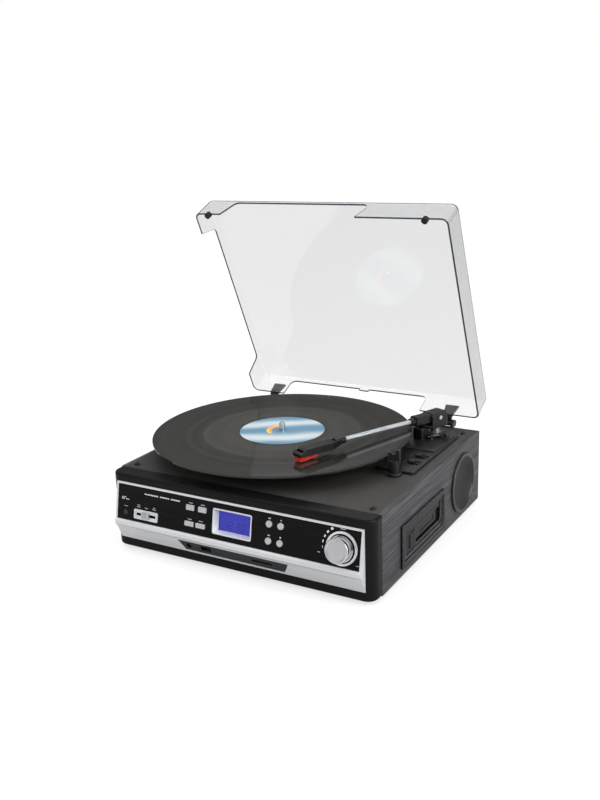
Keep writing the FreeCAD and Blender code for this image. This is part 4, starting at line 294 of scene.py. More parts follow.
def finish_drawing(drawing, name, thickness, place, finish, body):
    """Give a flat drawing its thickness, stand it in its place and let it ride on a body."""
    bmesh.ops.remove_doubles(drawing, verts=drawing.verts, dist=1e-7)
    bmesh.ops.recalc_face_normals(drawing, faces=drawing.faces)
    for face in drawing.faces:
        if face.normal.z < 0:
            face.normal_flip()
    raised = bmesh.ops.extrude_face_region(drawing, geom=list(drawing.faces), use_keep_orig=True)["geom"]
    bmesh.ops.translate(drawing, vec=(0, 0, thickness),
                        verts=[part for part in raised if isinstance(part, bmesh.types.BMVert)])
    bmesh.ops.recalc_face_normals(drawing, faces=drawing.faces)
    bmesh.ops.transform(drawing, matrix=place, verts=drawing.verts)
    mesh = bpy.data.meshes.new(name)
    drawing.to_mesh(mesh)
    drawing.free()
    mesh.materials.append(finish)
    piece = bpy.data.objects.new(name, mesh)
    bpy.context.scene.collection.objects.link(piece)
    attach(piece, body)


ink_finish, ink_tree, ink_shader = start_finish("white_ink", (0.75, 0.75, 0.75), 0.55)
ink_cover = grain(ink_tree, (0.0004, 0.0004, 0.0004), 2.0)
tint(ink_tree, ink_shader, ink_cover, (0.3, (0.5, 0.5, 0.51)), (0.6, (0.8, 0.8, 0.8)))


def draw_blocks(drawing, x, y, height, *counts):
    """A row of small square blocks, grouped by these counts, centred at x."""
    pitch = height * 1.5
    left = x - (sum(counts) + len(counts) - 2) * pitch / 2
    for count in counts:
        for block in range(count):
            draw_bar(drawing, left + block * pitch, y, height, height)
        left += (count + 1) * pitch


printing = bmesh.new()
heading_sign, corner_sign, small_sign = 0.0014, 0.001, 0.00065
draw_blocks(printing, -0.0892, 0.013, heading_sign, 9, 6, 6)
draw_blocks(printing, -0.1412, 0.0054, corner_sign, 4)
draw_blocks(printing, -0.1394, 0.0036, corner_sign, 3, 3)
draw_blocks(printing, -0.138, -0.0042, small_sign, 2, 2)
button_row, key_sign_rise, round_sign_rise = 0.0088, 0.0049, 0.0058
for x, y in ((-0.0512, button_row), (-0.0356, button_row), (-0.0516, -button_row), (-0.0372, -button_row)):
    draw_blocks(printing, x, y + key_sign_rise, small_sign, 5)
left_column, right_column, arrow_radius, square_side = 0.0466, 0.0602, 0.0009, 0.0015
pointing_left, pointing_right = math.pi / 2, -math.pi / 2
one_arrow, two_arrows = (0.0,), (-0.0007, 0.0007)
for x, y, turn, steps in ((left_column, button_row, pointing_left, two_arrows),
                          (right_column, button_row, pointing_right, one_arrow),
                          (left_column, -button_row, pointing_right, two_arrows)):
    for step in steps:
        draw_disc(printing, x + step, y + round_sign_rise, arrow_radius, 3, turn)
draw_bar(printing, right_column, round_sign_rise - button_row, square_side, square_side)
knob_x, knob_y, dash_radius, dash_length, dashes = 0.1295, -0.0004, 0.0213, 0.0026, 5
thinnest_dash, dash_growth, scale_start, scale_sweep = 0.0006, 0.0018, 186, 62
for step in range(dashes):
    share = step / (dashes - 1)
    angle = math.radians(scale_start - scale_sweep * share)
    draw_bar(printing, knob_x + dash_radius * math.cos(angle), knob_y + dash_radius * math.sin(angle),
             thinnest_dash + dash_growth * share, dash_length, angle)
draw_blocks(printing, knob_x - 0.0248, knob_y - 0.0082, small_sign, 3)
draw_blocks(printing, knob_x + 0.0178, knob_y - 0.0142, small_sign, 3)
draw_blocks(printing, knob_x, knob_y + 0.0192, small_sign, 6)
switch_x, switch_y, stop_pitch, row_pitch = -0.1098, -0.0025, 0.0106, 0.002
for stop, rows in ((-1, (5, 4)), (0, (4,)), (1, (5, 3))):
    for row, count in enumerate(rows):
        draw_blocks(printing, switch_x + stop * stop_pitch, switch_y + row * row_pitch, small_sign, count)
ink_thickness, panel_origin = 0.00005, panel_up * panel_middle + panel_out * panel_face
finish_drawing(printing, "panel_printing", ink_thickness,
               stand_on(panel_right, panel_up, panel_out, panel_origin), ink_finish, "cabinet")

# Bezels in the panel: a funnel round the display, a frame round the function switch and a knob ring.
# They are moulded and vacuum plated, brightest on the ring and satin on the funnel's sloping sides.
bezel_finish, bezel_tree, bezel_shader = start_finish("plated_silver", (0.72, 0.73, 0.75), 0.3, 0.4)
bezel_along = bezel_tree.nodes.new("ShaderNodeSeparateXYZ")
bezel_tree.links.new(place_on_piece(bezel_tree, (1.0, 1.0, 1.0)), bezel_along.inputs[0])
bezel_specks = grain(bezel_tree, (0.0006, 0.0006, 0.0006), 2.0)
satin_end, bright_start = 0.07, 0.1
bezel_satin = between(bezel_tree, bezel_along.outputs["X"], 0.38, 0.12, satin_end, bright_start)
bezel_tree.links.new(sums(bezel_tree, "ADD", bezel_satin, between(bezel_tree, bezel_specks, -0.03, 0.03)),
                     bezel_shader.inputs["Roughness"])
tint(bezel_tree, bezel_shader, bezel_specks, (0.35, (0.66, 0.67, 0.69)), (0.65, (0.78, 0.79, 0.81)))
put_on(bezel_finish, "panel_bezels")

# Display: a liquid crystal glass in front of a blue light guide, set at the bottom of its funnel.
# The light is strongest in the middle and falls off towards the corners of the glass.
display_low, display_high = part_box("display_module")
display_middle = (display_low + display_high) / 2
display_finish, display_tree, display_shader = start_finish("blue_backlight", (0.01, 0.012, 0.08), 0.12)
display_glow = display_tree.nodes.new("ShaderNodeTexGradient")
display_glow.gradient_type = "QUADRATIC_SPHERE"
display_tree.links.new(place_on_piece(display_tree, (0.042, 0.06, 0.03), display_middle),
                       display_glow.inputs[0])
display_rows = grain(display_tree, (0.0007, 0.0007, 0.0007), 1.0)
display_level = sums(display_tree, "ADD", display_glow.outputs["Fac"],
                     between(display_tree, display_rows, -0.04, 0.04))
display_tree.links.new(
    shades(display_tree, display_level, (0.0, (0.026, 0.028, 0.26)), (0.6, (0.034, 0.036, 0.34)),
           (1.0, (0.042, 0.044, 0.4))),
    display_shader.inputs["Emission Color"])
display_shader.inputs["Emission Strength"].default_value = 1.0
display_shader.inputs["Specular IOR Level"].default_value = 0.2
put_on(display_finish, "display_module")

# Figures on the display: liquid crystal segments that darken the blue light behind them.
# Four figures and a colon stand below the middle of the glass, leaning a little to the right.
segment_finish, segment_tree, segment_shader = start_finish("dark_segments", (0.006, 0.007, 0.05), 0.2)
segment_fade = grain(segment_tree, (0.004, 0.004, 0.004), 2.0)
segment_tree.links.new(
    shades(segment_tree, segment_fade, (0.3, (0.01, 0.01, 0.1)), (0.7, (0.014, 0.014, 0.14))),
    segment_shader.inputs["Emission Color"])
segment_shader.inputs["Emission Strength"].default_value = 0.8
lit_segments = {"1": "bc", "2": "abged", "3": "abgcd", "0": "abcdef"}
segment_places = {
    "a": (0.0, 1.0, 0.0), "g": (0.0, 0.0, 0.0), "d": (0.0, -1.0, 0.0),
    "f": (-1.0, 0.5, 1.0), "b": (1.0, 0.5, 1.0), "e": (-1.0, -0.5, 1.0), "c": (1.0, -0.5, 1.0),
}
figure_half_width, figure_half_height, figure_pitch, segment_line = 0.0021, 0.0036, 0.0062, 0.0008
level_segment, upright_segment = figure_half_width * 1.7, figure_half_height * 0.86
colon_room, colon_rise, figure_lean = 0.001, 0.0015, 0.12
figures = bmesh.new()
for place, figure in enumerate("1230"):
    figure_x = (place - 1.5) * figure_pitch + (colon_room if place > 1 else -colon_room)
    for segment in lit_segments[figure]:
        across, rise, upright = segment_places[segment]
        draw_bar(figures, figure_x + across * figure_half_width, rise * figure_half_height,
                 segment_line if upright else level_segment, upright_segment if upright else segment_line)
for rise in (-colon_rise, colon_rise):
    draw_bar(figures, 0.0, rise, segment_line, segment_line)
bmesh.ops.transform(figures, verts=figures.verts,
                    matrix=Matrix(((1, figure_lean, 0, 0), (0, 1, 0, 0), (0, 0, 1, 0), (0, 0, 0, 1))))
display_points = [v.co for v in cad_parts["display_module"].data.vertices]
display_face = max(p.dot(panel_out) for p in display_points)
segment_thickness, figures_across, figures_drop = 0.00005, 0.0012, 0.0032
figures_origin = (panel_right * figures_across + panel_up * (panel_middle - figures_drop)
                  + panel_out * display_face)
finish_drawing(figures, "display_figures", segment_thickness,
               stand_on(panel_right, panel_up, panel_out, figures_origin), segment_finish, "cabinet")

# Buttons and the function slider: moulded in a silver-grey plastic with metal flake in it.
# Each sits loose in its hole in the panel and clicks a switch on the board behind.
button_finish, button_tree, button_shader = start_finish("silver_flake_plastic", (0.5, 0.51, 0.53), 0.38,
                                                         0.4)
button_flakes = grain(button_tree, (0.0003, 0.0003, 0.0003), 2.0)
tint(button_tree, button_shader, button_flakes, (0.3, (0.42, 0.43, 0.45)), (0.7, (0.6, 0.61, 0.63)))
roughen(button_tree, button_shader, button_flakes, 0.45, 0.32)
put_on(button_finish, *[f"key_button_{n}" for n in range(1, 5)], *[f"round_button_{n}" for n in range(1, 5)],
       "function_slider")

# Receiver window: a small lens of dark red acrylic that lets a remote control's light through.
# It is pressed into a hole at the left end of the panel.
lens_finish, lens_tree, lens_shader = start_finish("dark_red_lens", (0.008, 0.003, 0.004), 0.1)
lens_cloud = grain(lens_tree, (0.003, 0.003, 0.003), 2.0)
tint(lens_tree, lens_shader, lens_cloud, (0.3, (0.006, 0.0025, 0.003)), (0.7, (0.012, 0.0035, 0.0045)))
put_on(lens_finish, "sensor_window")

# Volume knob: turned from aluminium, its sides polished and its face spun with fine rings.
# It pushes onto the flatted shaft of the control behind the panel.


def radius_about(tree, centre, across=(1.0, 1.0, 0.0), turn=(0.0, 0.0, 0.0)):
    """The distance of a point on the piece from an axis through centre, square to the axes in across."""
    flat = tree.nodes.new("ShaderNodeVectorMath")
    flat.operation = "MULTIPLY"
    flat.inputs[1].default_value = across
    tree.links.new(place_on_piece(tree, (1.0, 1.0, 1.0), centre, turn), flat.inputs[0])
    length = tree.nodes.new("ShaderNodeVectorMath")
    length.operation = "LENGTH"
    tree.links.new(flat.outputs[0], length.inputs[0])
    return length.outputs["Value"]


knob_centre = panel_right * knob_x + panel_up * (panel_middle + knob_y) + panel_out * panel_face
knob_tip = max(v.co.dot(panel_out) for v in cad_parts["volume_knob"].data.vertices)
knob_finish, knob_tree, knob_shader = start_finish("spun_aluminium", (0.75, 0.75, 0.76), 0.1, 1.0)
knob_turn = (math.pi / 2 - panel_slant, 0.0, 0.0)
knob_point = knob_tree.nodes.new("ShaderNodeSeparateXYZ")
knob_tree.links.new(place_on_piece(knob_tree, (1.0, 1.0, 1.0), knob_centre, knob_turn), knob_point.inputs[0])
knob_radius = radius_about(knob_tree, knob_centre, turn=knob_turn)
knob_rings = knob_tree.nodes.new("ShaderNodeTexNoise")
knob_rings.noise_dimensions = "1D"
knob_rings.inputs["Scale"].default_value = 3500.0
knob_rings.inputs["Detail"].default_value = 2.0
knob_tree.links.new(knob_radius, knob_rings.inputs["W"])
knob_specks = grain(knob_tree, (0.0005, 0.0005, 0.0005), 2.0)
knob_reach, knob_edge_depth, knob_face_depth = knob_tip - panel_face, 0.0014, 0.0008
knob_is_face = between(knob_tree, knob_point.outputs["Z"], 0.0, 1.0,
                       knob_reach - knob_edge_depth, knob_reach - knob_face_depth)
knob_tree.links.new(
    sums(knob_tree, "ADD", 0.09, sums(knob_tree, "MULTIPLY", knob_is_face,
                                      between(knob_tree, knob_specks, 0.2, 0.34))),
    knob_shader.inputs["Roughness"])
knob_mix = sums(knob_tree, "ADD", sums(knob_tree, "MULTIPLY", knob_rings.outputs[0], 0.5),
                sums(knob_tree, "MULTIPLY", knob_specks, 0.5))
tint(knob_tree, knob_shader, knob_mix, (0.35, (0.62, 0.62, 0.64)), (0.65, (0.85, 0.85, 0.86)))
knob_height = sums(knob_tree, "MULTIPLY", knob_rings.outputs[0], knob_is_face)
relief(knob_tree, knob_shader, knob_height, 0.00004, 0.7)
put_on(knob_finish, "volume_knob")

# Port insert: a dark grey moulding let into the silver band, with the front sockets behind it.
# The sockets are plated steel shells with black tongues, and the rear ones stand on the same boards.
port_finish = moulded_finish("port_dark_grey", (0.022, 0.0235, 0.0265), 0.45, 0.0007, 0.00003, 0.25)
put_on(port_finish, "port_insert")
shell_finish, shell_tree, shell_shader = start_finish("plated_shells", (0.3, 0.3, 0.31), 0.35, 0.85)
shell_draw = grain(shell_tree, (0.002, 0.0004, 0.002), 3.0)
tint(shell_tree, shell_shader, shell_draw, (0.35, (0.16, 0.16, 0.165)), (0.65, (0.4, 0.4, 0.41)))
roughen(shell_tree, shell_shader, shell_draw, 0.28, 0.45)
put_on(shell_finish, "signal_sockets")

# Boards and the volume control inside: green fibreglass boards with tinned tracks, and a pressed can.
# They are fixed on posts behind the panel and on the base board.
circuit_finish, circuit_tree, circuit_shader = start_finish("green_circuit_board", (0.02, 0.09, 0.04), 0.4)
circuit_tracks = circuit_tree.nodes.new("ShaderNodeTexBrick")
circuit_tree.links.new(place_on_piece(circuit_tree, (0.006, 0.006, 0.006)), circuit_tracks.inputs["Vector"])
circuit_tracks.inputs["Scale"].default_value = 1.0
circuit_tracks.inputs["Color1"].default_value = (0.015, 0.075, 0.03, 1.0)
circuit_tracks.inputs["Color2"].default_value = (0.02, 0.1, 0.045, 1.0)
circuit_tracks.inputs["Mortar"].default_value = (0.05, 0.17, 0.08, 1.0)
circuit_tree.links.new(circuit_tracks.outputs["Color"], circuit_shader.inputs["Base Color"])
put_on(circuit_finish, "circuit_boards")
can_finish, can_tree, can_shader = start_finish("pressed_zinc", (0.5, 0.5, 0.49), 0.4, 0.9)
can_spangle = grain(can_tree, (0.003, 0.003, 0.003), 3.0)
tint(can_tree, can_shader, can_spangle, (0.35, (0.38, 0.38, 0.37)), (0.65, (0.6, 0.6, 0.59)))
put_on(can_finish, "volume_pot", "drive_motor")

# Speakers: paper-cone drivers behind round grilles that push into the side panels from outside.
# A grille is a gloss ring round a dished sheet of fine perforated steel, sprayed dark grey, its holes
# darkened as painted shade.
cone_finish = moulded_finish("driver_black", (0.02, 0.02, 0.02), 0.7, 0.0009, 0.00004)
put_on(cone_finish, "speaker_drivers")
grille_low, grille_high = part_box("speaker_grilles")
grille_middle = (grille_low + grille_high) / 2
grille_finish, grille_tree, grille_shader = start_finish("grille_grey", (0.02, 0.021, 0.022), 0.35)
grille_radius = radius_about(grille_tree, grille_middle, (0.0, 1.0, 1.0))
dish_edge, hole_pitch, hole_edge = (0.0305, 0.0315), 0.0011, (0.24, 0.36)
grille_is_dish = between(grille_tree, grille_radius, 1.0, 0.0, *dish_edge)
grille_holes = grille_tree.nodes.new("ShaderNodeTexVoronoi")
grille_holes.inputs["Scale"].default_value = 1.0
grille_holes.inputs["Randomness"].default_value = 0.0
grille_tree.links.new(place_on_piece(grille_tree, (0.5, hole_pitch, hole_pitch), grille_middle,
                                     (math.pi / 4, 0.0, 0.0)), grille_holes.inputs["Vector"])
grille_dark = between(grille_tree, grille_holes.outputs["Distance"], 1.0, 0.0, *hole_edge)
# The holes are painted darker than the sheet: painted shade seen through the perforations.
grille_hole_shade = sums(grille_tree, "MULTIPLY", grille_dark, grille_is_dish)
tint(grille_tree, grille_shader, grille_hole_shade, (0.0, (0.02, 0.0205, 0.0215)), (1.0, (0.004, 0.004, 0.0045)))
roughen(grille_tree, grille_shader, grille_is_dish, 0.22, 0.5, 0.0, 1.0)
grille_shader.inputs["Specular IOR Level"].default_value = 0.25
relief(grille_tree, grille_shader, sums(grille_tree, "SUBTRACT", 1.0, grille_hole_shade), 0.0002, 0.5)
put_on(grille_finish, "speaker_grilles")

# Cassette slot: a stepped black bezel on the right side, with an eject key and a smoked swinging flap.
# The transport behind it is a pressed steel frame, seen only when the flap swings in.
# The step edges of the bezel and the key carry a painted highlight in light grey.
bezel_black = moulded_finish("bezel_satin_black", (0.0035, 0.0035, 0.0045), 0.24, 0.0006, 0.00003, 0.14,
                             0.0009, (0.26, 0.26, 0.28))
put_on(bezel_black, "cassette_bezel", "cassette_key")
flap_finish, flap_tree, flap_shader = start_finish("smoked_brown", (0.008, 0.005, 0.004), 0.1)
flap_smoke = grain(flap_tree, (0.012, 0.03, 0.006), 3.0)
tint(flap_tree, flap_shader, flap_smoke, (0.3, (0.003, 0.0022, 0.002)), (0.7, (0.007, 0.0048, 0.004)))
roughen(flap_tree, flap_shader, flap_smoke, 0.06, 0.16)
flap_shader.inputs["Specular IOR Level"].default_value = 0.15
put_on(flap_finish, "cassette_flap")
transport_finish, transport_tree, transport_shader = start_finish("pressed_steel", (0.32, 0.32, 0.33), 0.45,
                                                                  0.85)
transport_draw = grain(transport_tree, (0.02, 0.001, 0.001), 3.0)
tint(transport_tree, transport_shader, transport_draw, (0.35, (0.2, 0.2, 0.21)), (0.65, (0.36, 0.36, 0.37)))
put_on(transport_finish, "cassette_mechanism")

# Drive: a motor under the deck turns a small brass pulley, and a flat rubber belt runs round a ring
# under the platter. The spindle turns in a brass bush let into the deck.
brass_finish, brass_tree, brass_shader = start_finish("turned_brass", (0.6, 0.44, 0.17), 0.25, 1.0)
brass_rings = grain(brass_tree, (0.05, 0.05, 0.0003), 2.0)
tint(brass_tree, brass_shader, brass_rings, (0.35, (0.5, 0.36, 0.13)), (0.65, (0.7, 0.53, 0.24)))
roughen(brass_tree, brass_shader, brass_rings, 0.18, 0.34)
put_on(brass_finish, "bearing_bush", "motor_pulley")
belt_finish = moulded_finish("belt_rubber", (0.014, 0.014, 0.014), 0.7, 0.0004, 0.00002, 0.3)
put_on(belt_finish, "drive_belt")
platter_finish = moulded_finish("platter_satin_black", (0.018, 0.018, 0.018), 0.4, 0.0006, 0.00002)
put_on(platter_finish, "platter")

# Platter mat: a disc of soft rubber with rings pressed into it, painted darker in the grooves as painted
# shade.
# It lies loose on the platter, under the record.
record_low, record_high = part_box("record")
record_middle = Vector(((record_low.x + record_high.x) / 2, (record_low.y + record_high.y) / 2,
                        record_high.z))
mat_finish, mat_tree, mat_shader = start_finish("ribbed_rubber", (0.018, 0.018, 0.018), 0.8)
mat_radius = radius_about(mat_tree, record_middle)
mat_rib_rate = 1570.0
mat_ribs = sums(mat_tree, "SINE", sums(mat_tree, "MULTIPLY", mat_radius, mat_rib_rate), 0.0)
# The rings are painted lighter on their crests and darker in the grooves: painted shade.
mat_groove_shade = between(mat_tree, mat_ribs, 0.0, 1.0, -1.0, 1.0)
tint(mat_tree, mat_shader, mat_groove_shade, (0.0, (0.01, 0.01, 0.01)), (1.0, (0.026, 0.026, 0.026)))
relief(mat_tree, mat_shader, mat_ribs, 0.0002)
put_on(mat_finish, "platter_mat")

# Spindle: a polished steel pin with a domed tip, pressed into the hub of the platter.
# The arm's two pivot screws are turned from the same bright steel.
steel_finish, steel_tree, steel_shader = start_finish("polished_steel", (0.6, 0.6, 0.6), 0.16, 1.0)
steel_rings = grain(steel_tree, (0.05, 0.05, 0.0004), 2.0)
tint(steel_tree, steel_shader, steel_rings, (0.35, (0.52, 0.52, 0.53)), (0.65, (0.7, 0.7, 0.7)))
roughen(steel_tree, steel_shader, steel_rings, 0.12, 0.24)
put_on(steel_finish, "spindle", "pivot_screws")

# Record: black vinyl pressed with a fine spiral groove, smoother in the gaps between the tracks
# and in the run-out ring. The groove walls stretch every highlight across the disc.
vinyl_finish, vinyl_tree, vinyl_shader = start_finish("grooved_vinyl", (0.012, 0.0118, 0.0112), 0.2)
vinyl_radius = radius_about(vinyl_tree, record_middle)
vinyl_groove = vinyl_tree.nodes.new("ShaderNodeTexNoise")
vinyl_groove.noise_dimensions = "1D"
vinyl_groove.inputs["Scale"].default_value = 900.0
vinyl_groove.inputs["Detail"].default_value = 4.0
vinyl_tree.links.new(vinyl_radius, vinyl_groove.inputs["W"])
vinyl_bands = vinyl_tree.nodes.new("ShaderNodeTexNoise")
vinyl_bands.noise_dimensions = "1D"
vinyl_bands.inputs["Scale"].default_value = 70.0
vinyl_bands.inputs["Detail"].default_value = 1.0
vinyl_tree.links.new(vinyl_radius, vinyl_bands.inputs["W"])
track_gaps, gap_edge = (0.0735, 0.0905, 0.1085, 0.1265), (0.0003, 0.0007)
run_out_edge, lead_in_edge, inner_tracks_edge = (0.0565, 0.0575), (0.1455, 0.1465), (0.0918, 0.0926)
vinyl_gaps = 0.0
for gap_radius in track_gaps:
    near_gap = sums(vinyl_tree, "ABSOLUTE", sums(vinyl_tree, "SUBTRACT", vinyl_radius, gap_radius), 0.0)
    in_gap = between(vinyl_tree, near_gap, 1.0, 0.0, *gap_edge)
    vinyl_gaps = sums(vinyl_tree, "MAXIMUM", in_gap, vinyl_gaps)
vinyl_run_out = between(vinyl_tree, vinyl_radius, 1.0, 0.0, *run_out_edge)
vinyl_lead_in = between(vinyl_tree, vinyl_radius, 0.0, 1.0, *lead_in_edge)
vinyl_smooth = sums(vinyl_tree, "MAXIMUM", sums(vinyl_tree, "MAXIMUM", vinyl_gaps, vinyl_run_out),
                    vinyl_lead_in)
# Inside the last track gap the vinyl is painted lighter: a painted sheen on the inner tracks.
vinyl_inner_sheen = between(vinyl_tree, vinyl_radius, 0.45, 0.0, *inner_tracks_edge)
vinyl_mix = sums(vinyl_tree, "ADD", sums(vinyl_tree, "MULTIPLY", vinyl_bands.outputs[0], 0.5), vinyl_inner_sheen)
tint(vinyl_tree, vinyl_shader, vinyl_mix, (0.15, (0.0095, 0.0092, 0.0078)), (0.85, (0.042, 0.041, 0.036)))
vinyl_shader.inputs["Specular IOR Level"].default_value = 0.42
vinyl_tree.links.new(
    sums(vinyl_tree, "SUBTRACT", between(vinyl_tree, vinyl_bands.outputs[0], 0.09, 0.13),
         sums(vinyl_tree, "MULTIPLY", vinyl_smooth, 0.04)),
    vinyl_shader.inputs["Roughness"])
vinyl_height = sums(vinyl_tree, "MULTIPLY", vinyl_groove.outputs[0],
                    sums(vinyl_tree, "SUBTRACT", 1.0, vinyl_smooth))
relief(vinyl_tree, vinyl_shader, vinyl_height, 0.00005, 0.12)
put_on(vinyl_finish, "record")

# Label: a paper disc pressed into the vinyl, printed with soft waves across it in pale blue and white
# and, on one side of the hole, a warm arc that runs from orange to yellow.
label_finish, label_tree, label_shader = start_finish("printed_paper", (0.4, 0.6, 0.78), 0.45)
label_radius = radius_about(label_tree, record_middle)
label_waves = label_tree.nodes.new("ShaderNodeTexWave")
label_waves.bands_direction = "Y"
label_waves.inputs["Scale"].default_value = 0.22
label_waves.inputs["Distortion"].default_value = 3.2
label_waves.inputs["Detail"].default_value = 2.0
label_turn = (0.0, 0.0, math.radians(30.0))
label_tree.links.new(place_on_piece(label_tree, (0.03, 0.03, 0.03), record_middle, label_turn),
                     label_waves.inputs["Vector"])
label_sheet = shades(label_tree, label_waves.outputs["Fac"], (0.1, (0.1, 0.22, 0.33)),
                     (0.45, (0.2, 0.33, 0.42)), (0.75, (0.36, 0.46, 0.51)), (0.95, (0.52, 0.57, 0.59)))
label_side = label_tree.nodes.new("ShaderNodeSeparateXYZ")
label_tree.links.new(place_on_piece(label_tree, (0.01, 0.01, 0.01), record_middle), label_side.inputs[0])
arc_inner_edge, arc_outer_edge, arc_side_edge = (0.0122, 0.0126), (0.0182, 0.0186), (-0.62, -0.58)
label_arc = sums(label_tree, "MULTIPLY",
                 sums(label_tree, "MULTIPLY", between(label_tree, label_radius, 0.0, 1.0, *arc_inner_edge),
                      between(label_tree, label_radius, 1.0, 0.0, *arc_outer_edge)),
                 between(label_tree, label_side.outputs["X"], 1.0, 0.0, *arc_side_edge))
label_across = between(label_tree, label_radius, 0.0, 1.0, arc_inner_edge[0], arc_outer_edge[1])
label_warm = shades(label_tree, label_across,
                    (0.0, (0.8, 0.2, 0.03)), (0.5, (0.85, 0.38, 0.05)), (1.0, (0.85, 0.6, 0.12)))
label_print = label_tree.nodes.new("ShaderNodeMix")
label_print.data_type = "RGBA"
label_tree.links.new(label_arc, label_print.inputs["Factor"])
label_tree.links.new(label_sheet, label_print.inputs["A"])
label_tree.links.new(label_warm, label_print.inputs["B"])
label_tree.links.new(label_print.outputs["Result"], label_shader.inputs["Base Color"])
label_outer, label_hole, label_lift, label_paper = 0.0496, 0.0038, 0.00001, 0.00006
label = bmesh.new()
bmesh.ops.create_circle(label, segments=128, radius=label_outer)
label_band = bmesh.ops.extrude_edge_only(label, edges=list(label.edges))["geom"]
bmesh.ops.scale(label, vec=(label_hole / label_outer, label_hole / label_outer, 1.0),
                verts=[part for part in label_band if isinstance(part, bmesh.types.BMVert)])
finish_drawing(label, "record_label", label_paper,
               Matrix.Translation(record_middle + Vector((0, 0, label_lift))), label_finish, "turntable")

# Tonearm plate: a stepped black moulding on the deck that carries the pivot, the lift and two switches.
# The switches' caps, the arm rest and the lift are moulded in the same satin black.
# The edges of the plate, the lift block and the arm rest carry a painted highlight in dark grey.
plate_finish = moulded_finish("plate_satin_black", (0.006, 0.006, 0.0063), 0.4, 0.0007, 0.00004, 0.4, 0.0007,
                              (0.09, 0.09, 0.092))
put_on(plate_finish, "tonearm_plate", "lift_block", "arm_rest")
cap_finish = moulded_finish("cap_satin_black", (0.008, 0.008, 0.0085), 0.34, 0.0005, 0.00002, 0.4)
put_on(cap_finish, "autostop_slider", "speed_slider", "cue_lever", "lift_bar")

# Pivot: a grey turned cone on the plate carries a black housing, which swings on it.
# The arm is hung between two steel points, whose screw heads show as bright dots on the cheeks.
pillar_finish, pillar_tree, pillar_shader = start_finish("pillar_grey", (0.11, 0.11, 0.14), 0.24)
pillar_rings = grain(pillar_tree, (0.05, 0.05, 0.0005), 2.0)
tint(pillar_tree, pillar_shader, pillar_rings, (0.35, (0.09, 0.09, 0.12)), (0.65, (0.14, 0.14, 0.17)))
put_on(pillar_finish, "pivot_pillar")
housing_finish = moulded_finish("housing_satin_black", (0.007, 0.007, 0.0083), 0.36, 0.0006, 0.00003, 0.35)
put_on(housing_finish, "tonearm_housing", "arm_socket")

# Arm: a straight drawn aluminium tube with a satin skin, plugged into the pivot and the headshell.
# The headshell is moulded in black, and the red stylus holder clips onto the cartridge below it.
tube_finish, tube_tree, tube_shader = start_finish("drawn_aluminium", (0.5, 0.53, 0.56), 0.3, 0.9)
tube_lines = grain(tube_tree, (0.004, 0.03, 0.0006), 3.0)
tint(tube_tree, tube_shader, tube_lines, (0.35, (0.44, 0.47, 0.5)), (0.65, (0.6, 0.63, 0.66)))
roughen(tube_tree, tube_shader, tube_lines, 0.26, 0.38)
put_on(tube_finish, "arm_tube")
headshell_finish = moulded_finish("headshell_black", (0.005, 0.005, 0.0055), 0.3, 0.0006, 0.00003, 0.4)
put_on(headshell_finish, "headshell")
stylus_finish, stylus_tree, stylus_shader = start_finish("stylus_red", (0.5, 0.02, 0.012), 0.28)
stylus_flow = grain(stylus_tree, (0.003, 0.006, 0.002), 3.0)
tint(stylus_tree, stylus_shader, stylus_flow, (0.3, (0.42, 0.014, 0.01)), (0.7, (0.62, 0.035, 0.018)))
stylus_shader.inputs["Subsurface Weight"].default_value = 0.15
stylus_shader.inputs["Subsurface Radius"].default_value = (0.002, 0.0004, 0.0003)
put_on(stylus_finish, "stylus")

# Hinges: dark grey mouldings, a leaf screwed to the cover on each side.
# Each leaf turns on a base that is let into the rear of the deck.
leaf_finish = moulded_finish("hinge_dark_grey", (0.012, 0.012, 0.014), 0.4, 0.0007, 0.00003)
put_on(leaf_finish, "hinge_leaves", "hinge_bases")

# Dust cover: one clear styrene moulding, open below, with low gaps cut in its walls for the record.
# It is clean and almost without colour, so that only its edges and rounded corners show.
cover_finish, cover_tree, cover_shader = start_finish("clear_styrene", (0.8, 0.802, 0.802), 0.03)
cover_shader.inputs["Transmission Weight"].default_value = 1.0
cover_shader.inputs["IOR"].default_value = 1.45
cover_wipes = grain(cover_tree, (0.06, 0.02, 0.03), 4.0, 0.8)
roughen(cover_tree, cover_shader, cover_wipes, 0.015, 0.05)
cover_clear = cover_tree.nodes.new("ShaderNodeBsdfTransparent")
cover_clear.inputs["Color"].default_value = (0.95, 0.955, 0.96, 1.0)
cover_shadow = cover_tree.nodes.new("ShaderNodeLightPath")
cover_mix = cover_tree.nodes.new("ShaderNodeMixShader")
cover_tree.links.new(cover_shadow.outputs["Is Shadow Ray"], cover_mix.inputs["Fac"])
cover_tree.links.new(cover_shader.outputs["BSDF"], cover_mix.inputs[1])
cover_tree.links.new(cover_clear.outputs["BSDF"], cover_mix.inputs[2])
cover_tree.links.new(cover_mix.outputs["Shader"], cover_tree.nodes["Material Output"].inputs["Surface"])
put_on(cover_finish, "dust_cover")

# Edge of the cover: the sawn rim of the moulding, overlaid with a thin sheet of painted shade that stands in
# for the dark of the room gathered inside the rim, and shows as a thin blue-grey line all round the opening
# and the gaps.
cover_open = math.radians(66.0)
cover_rim_out = Vector((0.0, -math.sin(cover_open), -math.cos(cover_open)))
cover_length = Vector((0.0, -math.cos(cover_open), math.sin(cover_open)))
cover_gap_height, cover_rim_lift = 0.0285, 0.00004
cover_corner, cover_end, facing_out, facing_along = 0.01, 0.02, 0.3, 0.7
rim = bmesh.new()
rim.from_mesh(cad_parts["dust_cover"].data)
bmesh.ops.remove_doubles(rim, verts=rim.verts, dist=1e-6)
rim_plane = max(v.co.dot(cover_rim_out) for v in rim.verts)
rim_lengths = [v.co.dot(cover_length) for v in rim.verts]
rim_half_width = max(abs(v.co.x) for v in rim.verts)


